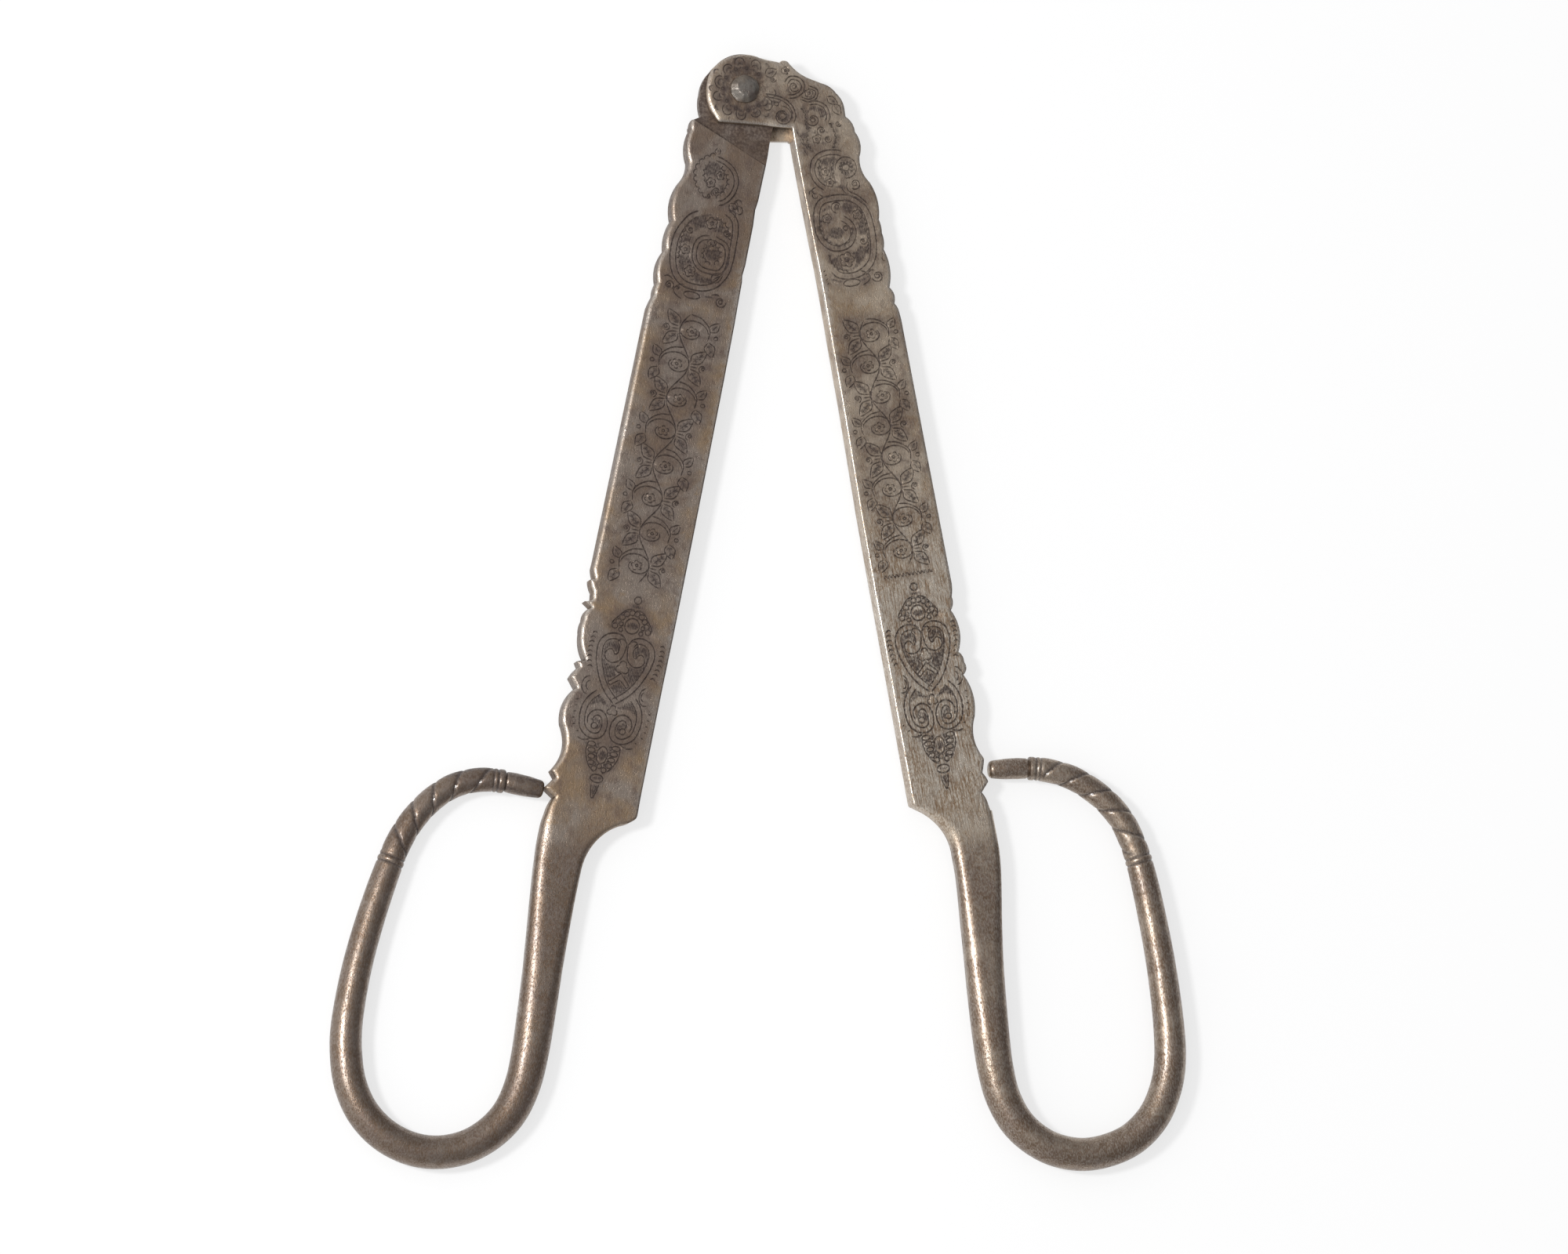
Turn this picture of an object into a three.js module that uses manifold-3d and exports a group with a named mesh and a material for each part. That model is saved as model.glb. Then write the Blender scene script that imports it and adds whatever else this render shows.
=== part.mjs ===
import * as THREE from "three";
import { mergeVertices } from "three/addons/utils/BufferGeometryUtils.js";
import Module from "manifold-3d";

// Sugar nips: two flat steel arms hinged at the top by one rivet. Each arm is one forging: a blade with a
// scalloped outer edge, a neck, and a rod bent round into an open finger loop.
// Millimetres. +X is to the right, +Y towards the hinge, +Z up from the table that the tool lies on.
// The origin is on the pivot axis, at the table.

// Driving sizes of the blades
const leftBladeLength = 171.7;
const rightBladeLength = 169.4;
const leftBladeWidth = 21.6;
const rightBladeWidth = 18.45;
const bladeThick = 5.6;
const edgeOffset = 9.05;
const closedGap = 1;
const edgeWear = 0.5;
const leftRestDegrees = -11.1;
const rightRestDegrees = 10.2;

// Driving sizes of the hinge: a thin tongue on the left arm, between two cheeks of the right arm
const tongueThick = 2;
const runningGap = 0.3;
const cheekRadius = 8.8;
const frontForkDrop = 10.4;
const rearForkDrop = 12.9;
const shoulderClearance = 3.7;
const rearStepClearance = 1.9;
const headReach = 22.45;

// Driving sizes of the rivet
const pinRadius = 2.2;
const rivetHeadRadius = 3.3;
const rivetHeadRise = 1.5;
const rearHeadRadius = 3;
const seatGap = 0.3;

// Driving sizes of the necks and finger loops
const leftNeckLength = 14;
const rightNeckLength = 13.4;
const neckWidth = 10.8;
const leftLoopLength = 70.9;
const rightLoopLength = 71.6;
const leftLoopWidth = 42;
const rightLoopWidth = 43.6;
const leftLoopDegrees = -0.1;
const rightLoopDegrees = -0.4;
const footRod = 7.7;
const ringRod = 5.5;
const collarLength = 1.2;
const collarRise = 0.12;
const ringLength = 2.2;
const ringRise = -0.2;

// How finely the curves are cut into flats
const outlineStep = 0.9;
const rodStep = 3;
const rodSides = 16;
const roundSides = 48;
const overrun = 1;

// Heights that follow from the sizes above: both arms share one middle plane
const middleZ = footRod / 2;
const frontZ = middleZ + bladeThick / 2;
const rearZ = middleZ - bladeThick / 2;
const slotHalf = tongueThick / 2 + runningGap;
const leftInner = closedGap / 2 - edgeOffset;
const rightInner = closedGap / 2 + edgeOffset;
const earRadius = -leftInner;
const holeRadius = pinRadius + runningGap;

const steel = { metalness: 0.85, roughness: 0.45 };
const leftSteel = new THREE.MeshStandardMaterial({ color: 0x6b6259, ...steel });
const rightSteel = new THREE.MeshStandardMaterial({ color: 0x736a60, ...steel });
const rivetSteel = new THREE.MeshStandardMaterial({ color: 0x5f5a54, ...steel });

const wasm = await Module();
wasm.setup();

// A closed three.js geometry becomes a solid
function solid(geometry) {
  const bare = geometry.clone();
  bare.deleteAttribute("normal");
  bare.deleteAttribute("uv");
  const merged = mergeVertices(bare);
  const vertProperties = Float32Array.from(merged.attributes.position.array);
  const triVerts = Uint32Array.from(merged.index.array);
  return new wasm.Manifold(new wasm.Mesh({ numProp: 3, vertProperties, triVerts }));
}

// A finished solid becomes a named mesh
function namedMesh(name, body, material) {
  const { vertProperties, triVerts } = body.getMesh();
  const geometry = new THREE.BufferGeometry();
  geometry.setAttribute("position", new THREE.BufferAttribute(vertProperties, 3));
  geometry.setIndex(new THREE.BufferAttribute(triVerts, 1));
  geometry.computeVertexNormals();
  const mesh = new THREE.Mesh(geometry, material);
  mesh.name = name;
  return mesh;
}

// A flat slab with the given outline, between two heights
function slab(points, lowZ, highZ) {
  const geometry = new THREE.ExtrudeGeometry(new THREE.Shape(points), {
    depth: highZ - lowZ,
    bevelEnabled: false,
  });
  geometry.translate(0, 0, lowZ);
  return solid(geometry);
}

// An upright cylinder on the pivot axis
function pivotCylinder(radius, lowZ, highZ) {
  const geometry = new THREE.CylinderGeometry(radius, radius, highZ - lowZ, roundSides);
  geometry.rotateX(Math.PI / 2);
  geometry.translate(0, 0, (lowZ + highZ) / 2);
  return solid(geometry);
}

// A chain of points joined by arcs. Each corner is { along, out, rise }: along runs down the arm from
// the pivot, out runs away from the other arm, and rise is how far the arc that ends there swells
// outwards, as a share of its chord. side is -1 on the left arm and 1 on the right.
function chain(corners, side) {
  const points = [];
  corners.forEach(({ along, out, rise = 0 }, index) => {
    const end = new THREE.Vector2(side * out, -along);
    if (index > 0 && rise !== 0) {
      const start = points[points.length - 1].clone();
      const chord = end.clone().sub(start);
      const outward = new THREE.Vector2(-side * chord.y, side * chord.x);
      const count = Math.max(2, Math.ceil(chord.length() / outlineStep));
      for (let step = 1; step < count; step += 1) {
        const share = step / count;
        const swell = 4 * rise * share * (1 - share);
        points.push(start.clone().addScaledVector(chord, share).addScaledVector(outward, swell));
      }
    }
    points.push(end);
  });
  return points;
}

// The value at a share of the way, read between the rows of a two-column table
function between(rows, share) {
  const next = rows.findIndex(([at]) => at >= share);
  if (next === 0) return rows[0][1];
  if (next < 0) return rows[rows.length - 1][1];
  const [fromAt, fromValue] = rows[next - 1];
  const [toAt, toValue] = rows[next];
  return fromValue + ((toValue - fromValue) * (share - fromAt)) / (toAt - fromAt);
}

// How the rod's section changes from the neck to the tip, by share of its length
const neckSwellShares = [
  [0, 1], [0.03, 0.82], [0.06, 0.65], [0.09, 0.5], [0.12, 0.37], [0.2, 0.27], [0.25, 0.18], [0.34, 0],
];
const thickeningShares = [[0, 0], [0.06, 0.3], [0.12, 0.62], [0.2, 1]];
const squarenessShares = [[0, 1], [0.1, 0.5], [0.2, 0.15], [0.3, 0]];
const taperShares = [
  [0.45, 0], [0.52, 0.09], [0.57, 0.17], [0.62, 0.32], [0.68, 0.45], [0.75, 0.59],
  [0.8, 0.78], [0.87, 0.93], [0.93, 1],
];
const tipShares = [[0.975, 1], [0.993, 0.97], [0.9965, 0.92], [0.9985, 0.82], [1, 0.6]];
const squarestExponent = 6;
const collarShare = 0.78;
const ringShare = 0.951;

// The rod of a finger loop, lofted along its centre line from the neck to the open tip
function loopRod(centreLine) {
  const length = centreLine.getLength();
  const beads = [
    { at: collarShare, half: collarLength / 2 / length, rise: collarRise },
    { at: ringShare, half: ringLength / 2 / length, rise: ringRise },
  ];
  const stationCount = Math.round(length / rodStep);
  const stations = Array.from({ length: stationCount + 1 }, (_, index) => index / stationCount);
  const clear = stations.filter((at) => beads.every((bead) => Math.abs(at - bead.at) > 1.5 * bead.half));
  beads.forEach(({ at, half }) => clear.push(at - half, at - half / 2, at + half / 2, at + half));
  tipShares.slice(1, -1).forEach(([at]) => clear.push(at));
  clear.sort((a, b) => a - b);

  const vertices = [];
  clear.forEach((at) => {
    const centre = centreLine.getPointAt(at);
    const tangent = centreLine.getTangentAt(at);
    const sideways = new THREE.Vector3(-tangent.y, tangent.x, 0);
    const upwards = new THREE.Vector3(0, 0, 1);
    const bead = beads.find((one) => Math.abs(at - one.at) < 0.75 * one.half);
    const lift = bead ? 2 * bead.rise : 0;
    const round = (footRod - (footRod - ringRod) * between(taperShares, at)) * between(tipShares, at);
    const wide = round + lift + (neckWidth - footRod) * between(neckSwellShares, at);
    const thick = round + lift - (footRod - bladeThick) * (1 - between(thickeningShares, at));
    const exponent = 2 + (squarestExponent - 2) * between(squarenessShares, at);
    for (let side = 0; side < rodSides; side += 1) {
      const angle = (2 * Math.PI * side) / rodSides;
      const across = Math.sign(Math.cos(angle)) * Math.abs(Math.cos(angle)) ** (2 / exponent);
      const up = Math.sign(Math.sin(angle)) * Math.abs(Math.sin(angle)) ** (2 / exponent);
      const point = centre.clone().addScaledVector(sideways, (across * wide) / 2);
      point.addScaledVector(upwards, (up * thick) / 2);
      vertices.push(point.x, point.y, point.z);
    }
  });

  const faces = [];
  const lastRing = (clear.length - 1) * rodSides;
  for (let ring = 0; ring < lastRing; ring += rodSides) {
    for (let side = 0; side < rodSides; side += 1) {
      const next = (side + 1) % rodSides;
      faces.push(ring + side, ring + next, ring + rodSides + side);
      faces.push(ring + next, ring + rodSides + next, ring + rodSides + side);
    }
  }
  for (let side = 1; side < rodSides - 1; side += 1) {
    faces.push(0, side + 1, side);
    faces.push(lastRing, lastRing + side, lastRing + side + 1);
  }
  const geometry = new THREE.BufferGeometry();
  geometry.setAttribute("position", new THREE.Float32BufferAttribute(vertices, 3));
  geometry.setIndex(faces);
  return solid(geometry);
}

// The loop's centre line. Rows give places as shares of the loop's length, down from the end of the
// neck, and of its width, out from the middle of the neck. The line starts inside the neck, and the
// whole loop is turned a little about the neck's end.
function loopLine(rows, arm) {
  const neckEnd = new THREE.Vector3(arm.side * arm.neckMiddle, -(arm.bladeLength + arm.neckLength), middleZ);
  const upright = new THREE.Vector3(0, 0, 1);
  const turn = THREE.MathUtils.degToRad(arm.side * arm.loopDegrees);
  const points = rows.map(([alongShare, outShare]) => {
    const out = new THREE.Vector3(arm.side * outShare * arm.loopWidth, -alongShare * arm.loopLength, 0);
    return out.applyAxisAngle(upright, turn).add(neckEnd);
  });
  const inside = neckEnd.clone().add(new THREE.Vector3(0, rodStep, 0));
  return new THREE.CatmullRomCurve3([inside, ...points], false, "centripetal");
}

// The outline of a neck, from the blade's inner corner, round the neck's end, to the blade's last notch
function neckCorners(arm, innerShares, outerShares) {
  const place = ([alongShare, outShare, rise]) => ({
    along: arm.bladeLength + alongShare * arm.neckLength,
    out: arm.inner + outShare * arm.bladeWidth,
    rise,
  });
  const end = arm.bladeLength + arm.neckLength;
  const half = neckWidth / 2;
  return {
    innerSide: [{ along: end, out: arm.neckMiddle - half }, ...innerShares.map(place)],
    outerSide: [...outerShares.map(place), { along: end, out: arm.neckMiddle + half, rise: 0.02 }],
  };
}

// A blade's inner edge, worn slightly hollow. Rows run up the blade: the place as a share of its
// length, and the hollow there as a share of the deepest wear.
function wornEdge(rows, arm) {
  return rows.map(([alongShare, wearShare]) => ({
    along: alongShare * arm.bladeLength,
    out: arm.inner + wearShare * edgeWear,
  }));
}

// Corners given as shares of a size, from the pivot
function pivotCorners(rows, size) {
  return rows.map(([alongShare, outShare, rise]) => ({
    along: alongShare * size,
    out: outShare * size,
    rise,
  }));
}

// The scalloped outer edge of a blade. Rows give places as shares of the blade's length below the
// given start, and of its width out from the inner edge, then each arc's rise.
function edgeCorners(rows, start, arm) {
  return rows.map(([alongShare, outShare, rise]) => ({
    along: start + alongShare * (arm.bladeLength - start),
    out: arm.inner + outShare * arm.bladeWidth,
    rise,
  }));
}

// Left arm

const leftNeckShare = 0.73;
const leftSizes = {
  side: -1,
  inner: leftInner,
  bladeLength: leftBladeLength,
  bladeWidth: leftBladeWidth,
  neckLength: leftNeckLength,
  neckMiddle: leftInner + leftNeckShare * leftBladeWidth,
  loopLength: leftLoopLength,
  loopWidth: leftLoopWidth,
  loopDegrees: leftLoopDegrees,
};
const earShares = [[0.366, 1.142, 0.1], [0.876, 1.041, 0.06], [0.976, 0.99, 0]];
const earEndDegrees = 158;
const leftWearShares = [
  [0.97, 0.6], [0.82, 0.45], [0.75, 0.15], [0.6, 0], [0.4, 0], [0.32, 0.2], [0.285, 0.45], [0.259, 0.6],
  [0.25, 1.05], [0.235, 0.6], [0.18, 0.6], [0.158, 1.05], [0.145, 0.5], [0.11, 0.3], [0.08, 0],
];
const shoulderInside = rearForkDrop + shoulderClearance;
const shoulderSlope = 0.365;
const shoulderCornerShare = 0.88;
const leftEdgeShares = [
  [0.015, 0.876, 0.1], [0.061, 0.832, 0.1], [0.091, 0.875, -0.1], [0.149, 0.882, 0.11],
  [0.193, 0.895, 0.08], [0.242, 0.911, 0.11], [0.261, 0.92, 0.06], [0.28, 0.955, 0.02],
  [0.34, 0.96, 0], [0.53, 0.975, 0], [0.65, 0.986, 0], [0.664, 0.99, 0],
  [0.678, 0.95, 0.03], [0.681, 0.995, 0], [0.697, 0.94, 0.06], [0.7075, 0.93, 0],
  [0.7125, 1.005, -0.1], [0.719, 0.93, 0], [0.739, 0.982, 0.13], [0.758, 0.985, 0.07],
  [0.794, 0.882, 0.08], [0.799, 0.965, 0], [0.806, 0.93, 0], [0.823, 1, 0.05],
  [0.836, 0.918, 0], [0.89, 0.99, 0.13], [0.958, 1.005, -0.165], [0.967, 0.948, 0],
  [0.984, 1.04, -0.03], [0.994, 0.918, 0],
];
const leftLoopShares = [
  [0, 0], [0.086, -0.005], [0.264, -0.022], [0.444, -0.04], [0.622, -0.052], [0.715, -0.045],
  [0.807, -0.008], [0.88, 0.065], [0.943, 0.18], [0.982, 0.327], [0.99, 0.478], [0.965, 0.641],
  [0.908, 0.78], [0.828, 0.876], [0.736, 0.931], [0.65, 0.957], [0.472, 0.965], [0.289, 0.943],
  [0.104, 0.899], [0.039, 0.876], [-0.029, 0.836], [-0.094, 0.776], [-0.139, 0.717], [-0.178, 0.645],
  [-0.204, 0.566], [-0.221, 0.48], [-0.228, 0.377], [-0.229, 0.271], [-0.229, 0.157],
];

// How far down the arm the diagonal shoulder lies, at a distance out from the pivot
function shoulderAlong(out) {
  return shoulderInside - shoulderSlope * (out - leftInner);
}

function leftOutline() {
  const neck = neckCorners(
    leftSizes,
    [[0.143, 0.156, -0.13], [0.02, 0.03, 0.05], [-0.07, 0.01, 0.1]],
    [[0.214, 0.97, 0.05], [0.5, 0.99, 0.03]],
  );
  const ear = [];
  const earSteps = roundSides / 2;
  for (let step = 0; step <= earSteps; step += 1) {
    const angle = THREE.MathUtils.degToRad((earEndDegrees * step) / earSteps);
    ear.push({ along: -earRadius * Math.sin(angle), out: -earRadius * Math.cos(angle) });
  }
  const cornerOut = leftInner + shoulderCornerShare * leftBladeWidth;
  const cornerAlong = shoulderAlong(cornerOut);
  return chain([
    ...neck.innerSide,
    ...wornEdge(leftWearShares, leftSizes),
    ...ear,
    ...pivotCorners(earShares, earRadius),
    { along: cornerAlong, out: cornerOut },
    ...edgeCorners(leftEdgeShares, cornerAlong, leftSizes),
    ...neck.outerSide,
  ], -1);
}

// What is cut away above a slanted line across the arm, to leave the tongue
function aboveLine(insideAlong, slope, lowZ, highZ) {
  const reach = leftBladeWidth + earRadius;
  return slab(chain([
    { along: -reach, out: -reach },
    { along: insideAlong + slope * (reach + leftInner), out: -reach },
    { along: insideAlong - slope * (reach - leftInner), out: reach },
    { along: -reach, out: reach },
  ], -1), lowZ, highZ);
}

// The front of the tongue ramps up to the blade's face, from just below the fork to the inner end of
// the shoulder
function frontRamp() {
  const tongueFrontZ = middleZ + tongueThick / 2;
  const rampStart = frontForkDrop + runningGap;
  const rampEnd = shoulderInside + rearStepClearance;
  const reach = leftBladeWidth + earRadius;
  const profile = [
    new THREE.Vector2(rampStart, tongueFrontZ - overrun),
    new THREE.Vector2(rampStart, tongueFrontZ),
    new THREE.Vector2(rampEnd, frontZ),
    new THREE.Vector2(rampEnd + reach, frontZ),
    new THREE.Vector2(rampEnd + reach, tongueFrontZ - overrun),
  ];
  const geometry = new THREE.ExtrudeGeometry(new THREE.Shape(profile), { depth: 2 * reach, bevelEnabled: false });
  geometry.translate(0, 0, -reach);
  geometry.rotateX(Math.PI / 2);
  geometry.rotateZ(-Math.PI / 2);
  return solid(geometry);
}

function leftArm() {
  const tongueHalf = tongueThick / 2;
  const plate = slab(leftOutline(), rearZ, frontZ);
  const rod = loopRod(loopLine(leftLoopShares, leftSizes));
  const frontCut = aboveLine(shoulderInside, shoulderSlope, middleZ + tongueHalf, frontZ + overrun);
  const rearInside = rearForkDrop + rearStepClearance;
  const rearSlope = shoulderSlope / 2;
  const rearCut = aboveLine(rearInside, rearSlope, rearZ - overrun, middleZ - tongueHalf);
  const hole = pivotCylinder(holeRadius, rearZ - overrun, frontZ + overrun);
  return plate.add(rod).subtract(frontCut.subtract(frontRamp())).subtract(rearCut).subtract(hole);
}

// Right arm

const rightNeckShare = 0.722;
const rightSizes = {
  side: 1,
  inner: rightInner,
  bladeLength: rightBladeLength,
  bladeWidth: rightBladeWidth,
  neckLength: rightNeckLength,
  neckMiddle: rightInner + rightNeckShare * rightBladeWidth,
  loopLength: rightLoopLength,
  loopWidth: rightLoopWidth,
  loopDegrees: rightLoopDegrees,
};
const cheekShares = [
  [0.76, -0.82, 0], [0.59, -0.91, 0.04], [0.36, -0.993, 0.03], [-0.09, -1.005, 0.06],
  [-0.67, -0.722, 0.083], [-0.938, 0, 0.1], [-0.784, 0.574, 0.077],
];
const headShares = [
  [-0.241, 0.388, -0.01], [-0.225, 0.416, 0], [-0.241, 0.468, 0.15], [-0.203, 0.517, 0.15],
  [-0.149, 0.554, 0], [-0.022, 0.695, -0.05], [0.049, 0.822, 0], [0.171, 0.955, 0.09],
  [0.336, 1.014, 0.09], [0.425, 1.011, 0],
];
const rightWearShares = [
  [0.97, 0.4], [0.8, 0.3], [0.7, 0.1], [0.6, 0.1], [0.53, 0.4], [0.45, 0.7], [0.36, 0.75], [0.3, 0.9],
  [0.26, 0.85], [0.22, 0.5], [0.16, 0.2], [0.11, 0],
];
const rightEdgeShares = [
  [0.024, 0.798, 0.12], [0.061, 0.8, 0.13], [0.1, 0.87, -0.11], [0.156, 0.904, 0.09],
  [0.176, 0.912, 0.05], [0.2, 0.898, 0.07], [0.256, 0.885, 0.09], [0.28, 0.912, 0.15],
  [0.29, 0.949, 0.05], [0.317, 0.963, 0.02], [0.686, 1.003, 0], [0.714, 0.974, 0.05],
  [0.733, 0.934, 0.12], [0.794, 0.937, 0.12], [0.81, 0.985, 0.12], [0.828, 0.947, 0.2],
  [0.89, 0.995, 0.1], [0.952, 1.018, -0.13], [0.972, 0.965, 0.02], [0.986, 1.02, 0.05],
  [1, 0.915, 0],
];
const rightLoopShares = [
  [0, 0], [0.069, -0.005], [0.246, -0.037], [0.422, -0.065], [0.601, -0.085], [0.692, -0.089],
  [0.789, -0.074], [0.885, -0.013], [0.965, 0.114], [1.006, 0.272], [1.01, 0.421], [0.985, 0.581],
  [0.925, 0.716], [0.844, 0.805], [0.763, 0.853], [0.658, 0.879], [0.479, 0.895], [0.3, 0.893],
  [0.126, 0.877], [0.043, 0.856], [-0.033, 0.819], [-0.1, 0.753], [-0.15, 0.677], [-0.193, 0.588],
  [-0.222, 0.491], [-0.239, 0.402], [-0.249, 0.299], [-0.256, 0.193], [-0.26, 0.148],
];
const rearWebShares = [[0.8, -0.75], [1, -0.66], [1.04, 0.4]];

function rightOutline() {
  const neck = neckCorners(
    rightSizes,
    [[0.164, 0.157, -0.12], [0.057, 0.046, 0], [0, 0.01, 0.15]],
    [[0.214, 0.972, 0.06], [0.5, 0.998, 0.03]],
  );
  const head = pivotCorners(headShares, headReach);
  const headEnd = head[head.length - 1].along;
  return chain([
    ...neck.innerSide,
    ...wornEdge(rightWearShares, rightSizes),
    { along: frontForkDrop, out: rightInner },
    ...pivotCorners(cheekShares, cheekRadius),
    ...head,
    ...edgeCorners(rightEdgeShares, headEnd, rightSizes),
    ...neck.outerSide,
  ], 1);
}

// The rear cheek reaches further down than the front one
function rearWeb() {
  const [[startAlong, startOut], [cornerAlong, cornerOut], [middleAlong, middleOut]] = rearWebShares;
  return slab(chain([
    { along: 0, out: startOut * cheekRadius },
    { along: startAlong * cheekRadius, out: startOut * cheekRadius },
    { along: cornerAlong * frontForkDrop, out: cornerOut * cheekRadius },
    { along: middleAlong * (frontForkDrop + rearForkDrop) / 2, out: middleOut * rightInner },
    { along: rearForkDrop, out: rightInner - overrun },
    { along: rearForkDrop + overrun, out: rightInner, rise: -0.2 },
    { along: rearForkDrop + overrun, out: rightInner + overrun },
    { along: 0, out: rightInner + overrun },
  ], 1), rearZ, middleZ - slotHalf);
}

function rightArm() {
  const plate = slab(rightOutline(), rearZ, frontZ);
  const rod = loopRod(loopLine(rightLoopShares, rightSizes));
  const reach = 2 * cheekRadius;
  const openSide = slab(chain([
    { along: 0, out: -reach },
    { along: 0, out: rightInner },
    { along: rearForkDrop + 2 * overrun, out: rightInner },
    { along: rearForkDrop + 2 * overrun, out: -reach },
  ], 1), middleZ - slotHalf, middleZ + slotHalf);
  const slot = pivotCylinder(rightInner, middleZ - slotHalf, middleZ + slotHalf).add(openSide);
  const hole = pivotCylinder(holeRadius, rearZ - overrun, frontZ + overrun);
  return plate.add(rearWeb()).add(rod).subtract(slot).subtract(hole);
}

// Rivet: a pin with a domed head in front and a low flat-ended head behind, which reaches the table

function rivet() {
  const headZ = frontZ + seatGap;
  const rearHeadZ = rearZ - seatGap;
  const rearFlatShare = 0.85;
  const profile = [
    new THREE.Vector2(0, 0),
    new THREE.Vector2(rearFlatShare * rearHeadRadius, 0),
    new THREE.Vector2(rearHeadRadius, rearHeadZ / 2),
    new THREE.Vector2(rearHeadRadius, rearHeadZ),
    new THREE.Vector2(pinRadius, rearHeadZ),
    new THREE.Vector2(pinRadius, headZ),
    new THREE.Vector2(rivetHeadRadius, headZ),
  ];
  const domeSteps = 8;
  const rimShare = 0.2;
  for (let step = 0; step <= domeSteps; step += 1) {
    const angle = (Math.PI * step) / domeSteps / 2;
    const rise = rivetHeadRise * (rimShare + (1 - rimShare) * Math.sin(angle));
    const radius = step === domeSteps ? 0 : rivetHeadRadius * Math.cos(angle);
    profile.push(new THREE.Vector2(radius, headZ + rise));
  }
  const geometry = new THREE.LatheGeometry(profile, roundSides);
  geometry.rotateX(Math.PI / 2);
  return solid(geometry);
}

const nips = new THREE.Group();

const leftMesh = namedMesh("left_arm", leftArm(), leftSteel);
leftMesh.rotation.z = THREE.MathUtils.degToRad(leftRestDegrees);
nips.add(leftMesh);

const rightMesh = namedMesh("right_arm", rightArm(), rightSteel);
rightMesh.rotation.z = THREE.MathUtils.degToRad(rightRestDegrees);
nips.add(rightMesh);

nips.add(namedMesh("hinge_rivet", rivet(), rivetSteel));

export default nips;
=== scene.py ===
import math

import bmesh
import bpy
import numpy as np
from mathutils import Matrix, Vector
from mathutils.geometry import delaunay_2d_cdt
from mathutils.kdtree import KDTree


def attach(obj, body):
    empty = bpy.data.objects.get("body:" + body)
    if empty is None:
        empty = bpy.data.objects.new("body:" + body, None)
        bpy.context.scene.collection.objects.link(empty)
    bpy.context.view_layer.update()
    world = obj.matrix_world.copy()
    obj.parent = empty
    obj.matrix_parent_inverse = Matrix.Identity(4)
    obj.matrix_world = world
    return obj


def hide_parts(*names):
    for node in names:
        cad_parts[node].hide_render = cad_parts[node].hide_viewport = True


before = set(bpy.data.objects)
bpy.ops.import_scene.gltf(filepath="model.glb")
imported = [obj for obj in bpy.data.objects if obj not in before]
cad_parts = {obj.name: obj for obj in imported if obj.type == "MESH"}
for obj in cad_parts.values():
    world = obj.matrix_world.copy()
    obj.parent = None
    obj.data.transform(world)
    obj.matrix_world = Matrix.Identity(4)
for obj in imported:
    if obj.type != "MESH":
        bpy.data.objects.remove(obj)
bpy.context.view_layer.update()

# Sugar nips on a pale table. Everything is modelled in millimetres, in each arm's own axes, and
# then turned to its resting place. A place on an arm is (along, out): along runs down the arm from
# the pivot, and out runs away from the other arm.

MM = 0.001
TABLE_GAP = 0.00002

# Sizes shared with the solids, in millimetres
LEFT_BLADE_LENGTH = 171.7
RIGHT_BLADE_LENGTH = 169.4
LEFT_BLADE_WIDTH = 21.6
RIGHT_BLADE_WIDTH = 18.45
BLADE_THICK = 5.6
EDGE_OFFSET = 9.05
CLOSED_GAP = 1.0
EDGE_WEAR = 0.5
LEFT_REST = math.radians(-11.1)
RIGHT_REST = math.radians(10.2)
TONGUE_THICK = 2.0
RUNNING_GAP = 0.3
CHEEK_RADIUS = 8.8
EAR_TRIM = 0.999
FRONT_FORK_DROP = 10.4
REAR_FORK_DROP = 12.9
SHOULDER_CLEARANCE = 3.7
REAR_STEP_CLEARANCE = 1.9
HEAD_REACH = 22.45
PIN_RADIUS = 2.2
RIVET_RADIUS = 3.3
RIVET_RISE = 1.5
REAR_HEAD_RADIUS = 3.0
SEAT_GAP = 0.3
NECK_WIDTH = 10.8
FOOT_ROD = 7.7
RING_ROD = 5.5
MIDDLE_Z = FOOT_ROD / 2
FRONT_Z = MIDDLE_Z + BLADE_THICK / 2
REAR_Z = MIDDLE_Z - BLADE_THICK / 2
SLOT_HALF = TONGUE_THICK / 2 + RUNNING_GAP
LEFT_INNER = CLOSED_GAP / 2 - EDGE_OFFSET
RIGHT_INNER = CLOSED_GAP / 2 + EDGE_OFFSET
HOLE_RADIUS = PIN_RADIUS + RUNNING_GAP
OVERRUN = 1.0

LEFT = dict(
    side=-1, turn=LEFT_REST, inner=LEFT_INNER, blade=LEFT_BLADE_LENGTH, width=LEFT_BLADE_WIDTH,
    neck=14.0, middle=LEFT_INNER + 0.73 * LEFT_BLADE_WIDTH, loop_length=70.9, loop_width=42.0,
    loop_turn=-0.1,
)
RIGHT = dict(
    side=1, turn=RIGHT_REST, inner=RIGHT_INNER, blade=RIGHT_BLADE_LENGTH, width=RIGHT_BLADE_WIDTH,
    neck=13.4, middle=RIGHT_INNER + 0.722 * RIGHT_BLADE_WIDTH, loop_length=71.6, loop_width=43.6,
    loop_turn=-0.4,
)


# ---------------------------------------------------------------- camera and lamp

# How far the camera leans over from straight above, towards the left arm and towards the loops
CAMERA_LEAN_LEFT = math.radians(12)
CAMERA_LEAN_LOW = math.radians(7.5)
CAMERA_AIM = Vector((9.932, -124.663, MIDDLE_Z)) * MM
CAMERA_DISTANCE = 2.0
CAMERA_LENS = 200
CAMERA_SENSOR = 36
TOOL_MIDDLE = Vector((0.0, -0.12, 0.0))
WINDOW_PLACE = TOOL_MIDDLE + Vector((-0.87, 0.04, 1.1))
WINDOW_SIZE = 0.22
WINDOW_POWER = 11.5


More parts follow.
